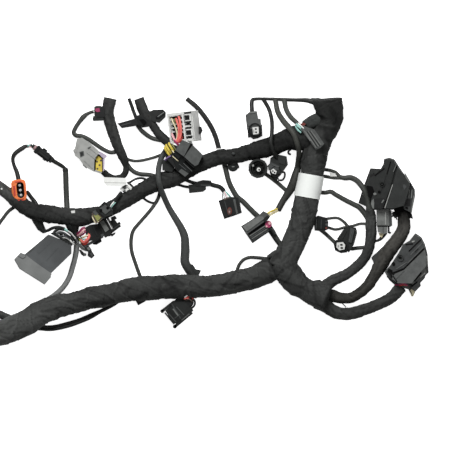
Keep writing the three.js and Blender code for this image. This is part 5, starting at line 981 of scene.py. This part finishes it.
def ragged(name, outline, z, mat, seed):
    """A loose end of tape: a thin sheet with a torn edge that lifts a little."""
    r = random.Random(seed)
    bm = bmesh.new()
    c = (sum(q[0] for q in outline) / len(outline), sum(q[1] for q in outline) / len(outline))
    rim = []
    for i, (a, b) in enumerate(outline):
        a2, b2 = outline[(i + 1) % len(outline)]
        for t in (0.0, 0.33, 0.66):
            rim.append((a + (a2 - a) * t + r.uniform(-0.35, 0.35), b + (b2 - b) * t + r.uniform(-0.35, 0.35), z + r.uniform(-0.5, 1.2)))
    top = [bm.verts.new((X(a), Y(b), h * 0.001)) for a, b, h in rim]
    low = [bm.verts.new((X(a), Y(b), (h - 0.7) * 0.001)) for a, b, h in rim]
    ct, cl = bm.verts.new((X(c[0]), Y(c[1]), (z + 1.2) * 0.001)), bm.verts.new((X(c[0]), Y(c[1]), (z + 0.2) * 0.001))
    n = len(rim)
    for i in range(n):
        j = (i + 1) % n
        bm.faces.new((top[i], top[j], ct))
        bm.faces.new((low[j], low[i], cl))
        bm.faces.new((top[j], top[i], low[i], low[j]))
    bmesh.ops.recalc_face_normals(bm, faces=bm.faces)
    verts = [tuple(v.co) for v in bm.verts]
    bm.verts.index_update()
    faces = [tuple(v.index for v in f.verts) for f in bm.faces]
    bm.free()
    return link_mesh(name, verts, faces, [mat], tones=np.full(len(verts), 0.95), sharp=30)


ragged("look_tape_flare", [(385, 244.4), (378, 251), (371.4, 257.4), (373.4, 262.6), (376.4, 267), (383, 262.6), (390, 252)], 12, TAPE, 3)
ragged("look_tape_tail", [(187.6, 264.6), (192.4, 264), (195.6, 268.6), (200.8, 270.6), (198.6, 275.4), (190, 275)], 7, TAPE_IN_SHADE, 5)
ragged("look_tape_edge", [(342, 276), (350, 277.4), (351.6, 273), (345, 272.4)], 5, TAPE_WARM, 8)
ragged("look_junction_fold", [(300.6, 273), (306.8, 281.6), (303.4, 291), (297.4, 283.4)], 24.6, TAPE, 9)

# every free lead, with its measured length and its fittings
CORDS = {
    "limb_upper_left": (1, "bare", ()), "limb_upper_mid": (1, "bare", ()), "limb_right_inner": (0, "object", ()),
    "limb_ecu_a": (0, "connector", ("ecu_connector_a",)), "limb_ecu_b": (0, "connector", ("ecu_connector_b",)),
    "header": (0, "connector", ("two_way_plug",)), "conduit": (0, "connector", ("inline_plug",)), "lead_orange": (0, "connector", ("orange_connector",)),
    "loop_upper_left": (1, "plug", ("upper_left_plug",)), "lead_a": (1, "bare", ()), "link_b": (1, "object", ()), "link_h": (0, "object", ()), "link_k": (0, "object", ()),
    "lead_c": (0, "connector", ("round_plug",)), "lead_d": (0, "connector", ("wide_plug",)), "lead_e": (0, "connector", ("ribbed_plug",)), "lead_o": (0, "connector", ("round_socket",)),
    "link_ij": (0, "object", ()), "lead_oval": (1, "connector", ("oval_plug",)), "loop_j1": (1, "object", ()), "lead_m": (0, "object", ()), "lead_left": (0, "bare", ()),
    "lead_f1": (0, "object", ()), "lead_f2": (0, "object", ()), "loop_lower": (0, "object", ()), "branch_a2": (0, "object", ()),
    "lead_g_upper": (0, "object", ()), "lead_g_lower": (0, "object", ()), "branch_a1": (0, "object", ()), "strand_left": (0, "object", ()), "look_loop_second": (0, "object", ()),
}
told = {}
for name, (flip, end, withs) in CORDS.items():
    o, path, length, thick = T[name]
    path = path[::-1] if flip else path
    if name == "limb_upper_mid":
        thick = min(thick, length / 6.05)
    told[name] = [round(length * 1000), round(thick * 1000, 1)]
print("CORDS", json.dumps(told))

# ---- floor, light and camera ----
floor_mat, nt, b = principled("white_floor")
b.inputs["Base Color"].default_value = (0.97, 0.97, 0.97, 1)
b.inputs["Roughness"].default_value = 1.0
b.inputs["Specular IOR Level"].default_value = 0.0
b.inputs["Emission Color"].default_value = (1, 1, 1, 1)
ray = nt.nodes.new("ShaderNodeLightPath")
glow = nt.nodes.new("ShaderNodeMapRange")
glow.inputs["To Min"].default_value, glow.inputs["To Max"].default_value = 0.1, 0.9
nt.links.new(ray.outputs["Is Camera Ray"], glow.inputs["Value"])
nt.links.new(glow.outputs["Result"], b.inputs["Emission Strength"])
me = bpy.data.meshes.new("floor")
s = 4.0
me.from_pydata([(-s, -s, -0.0006), (s, -s, -0.0006), (s, s, -0.0006), (-s, s, -0.0006)], [], [(0, 1, 2, 3)])
me.materials.append(floor_mat)
floor = bpy.data.objects.new("floor", me)
bpy.context.scene.collection.objects.link(floor)

world = bpy.data.worlds.new("studio")
world.use_nodes = True
world.node_tree.nodes["Background"].inputs["Color"].default_value = (1, 1, 1, 1)
world.node_tree.nodes["Background"].inputs["Strength"].default_value = 0.16
bpy.context.scene.world = world


def area(name, place, target, size, power):
    d = bpy.data.lights.new(name, "AREA")
    d.shape, d.size, d.energy = "SQUARE", size, power
    o = bpy.data.objects.new(name, d)
    o.location = place
    o.rotation_euler = (Vector(target) - Vector(place)).to_track_quat("-Z", "Y").to_euler()
    bpy.context.scene.collection.objects.link(o)


CX, CY = X(226), Y(226)
area("key", (CX - 0.25, CY + 0.95, 1.15), (CX, CY, 0), 0.6, 24)
area("fill", (CX + 0.7, CY - 0.2, 1.0), (CX, CY, 0), 0.9, 3)

cam = bpy.data.cameras.new("camera")
cam.type, cam.ortho_scale, cam.clip_end = "ORTHO", 452 * U, 10
co = bpy.data.objects.new("camera", cam)
co.location = (CX, CY, 2.0)
bpy.context.scene.collection.objects.link(co)
bpy.context.scene.camera = co
bpy.context.scene.view_settings.view_transform = "Standard"
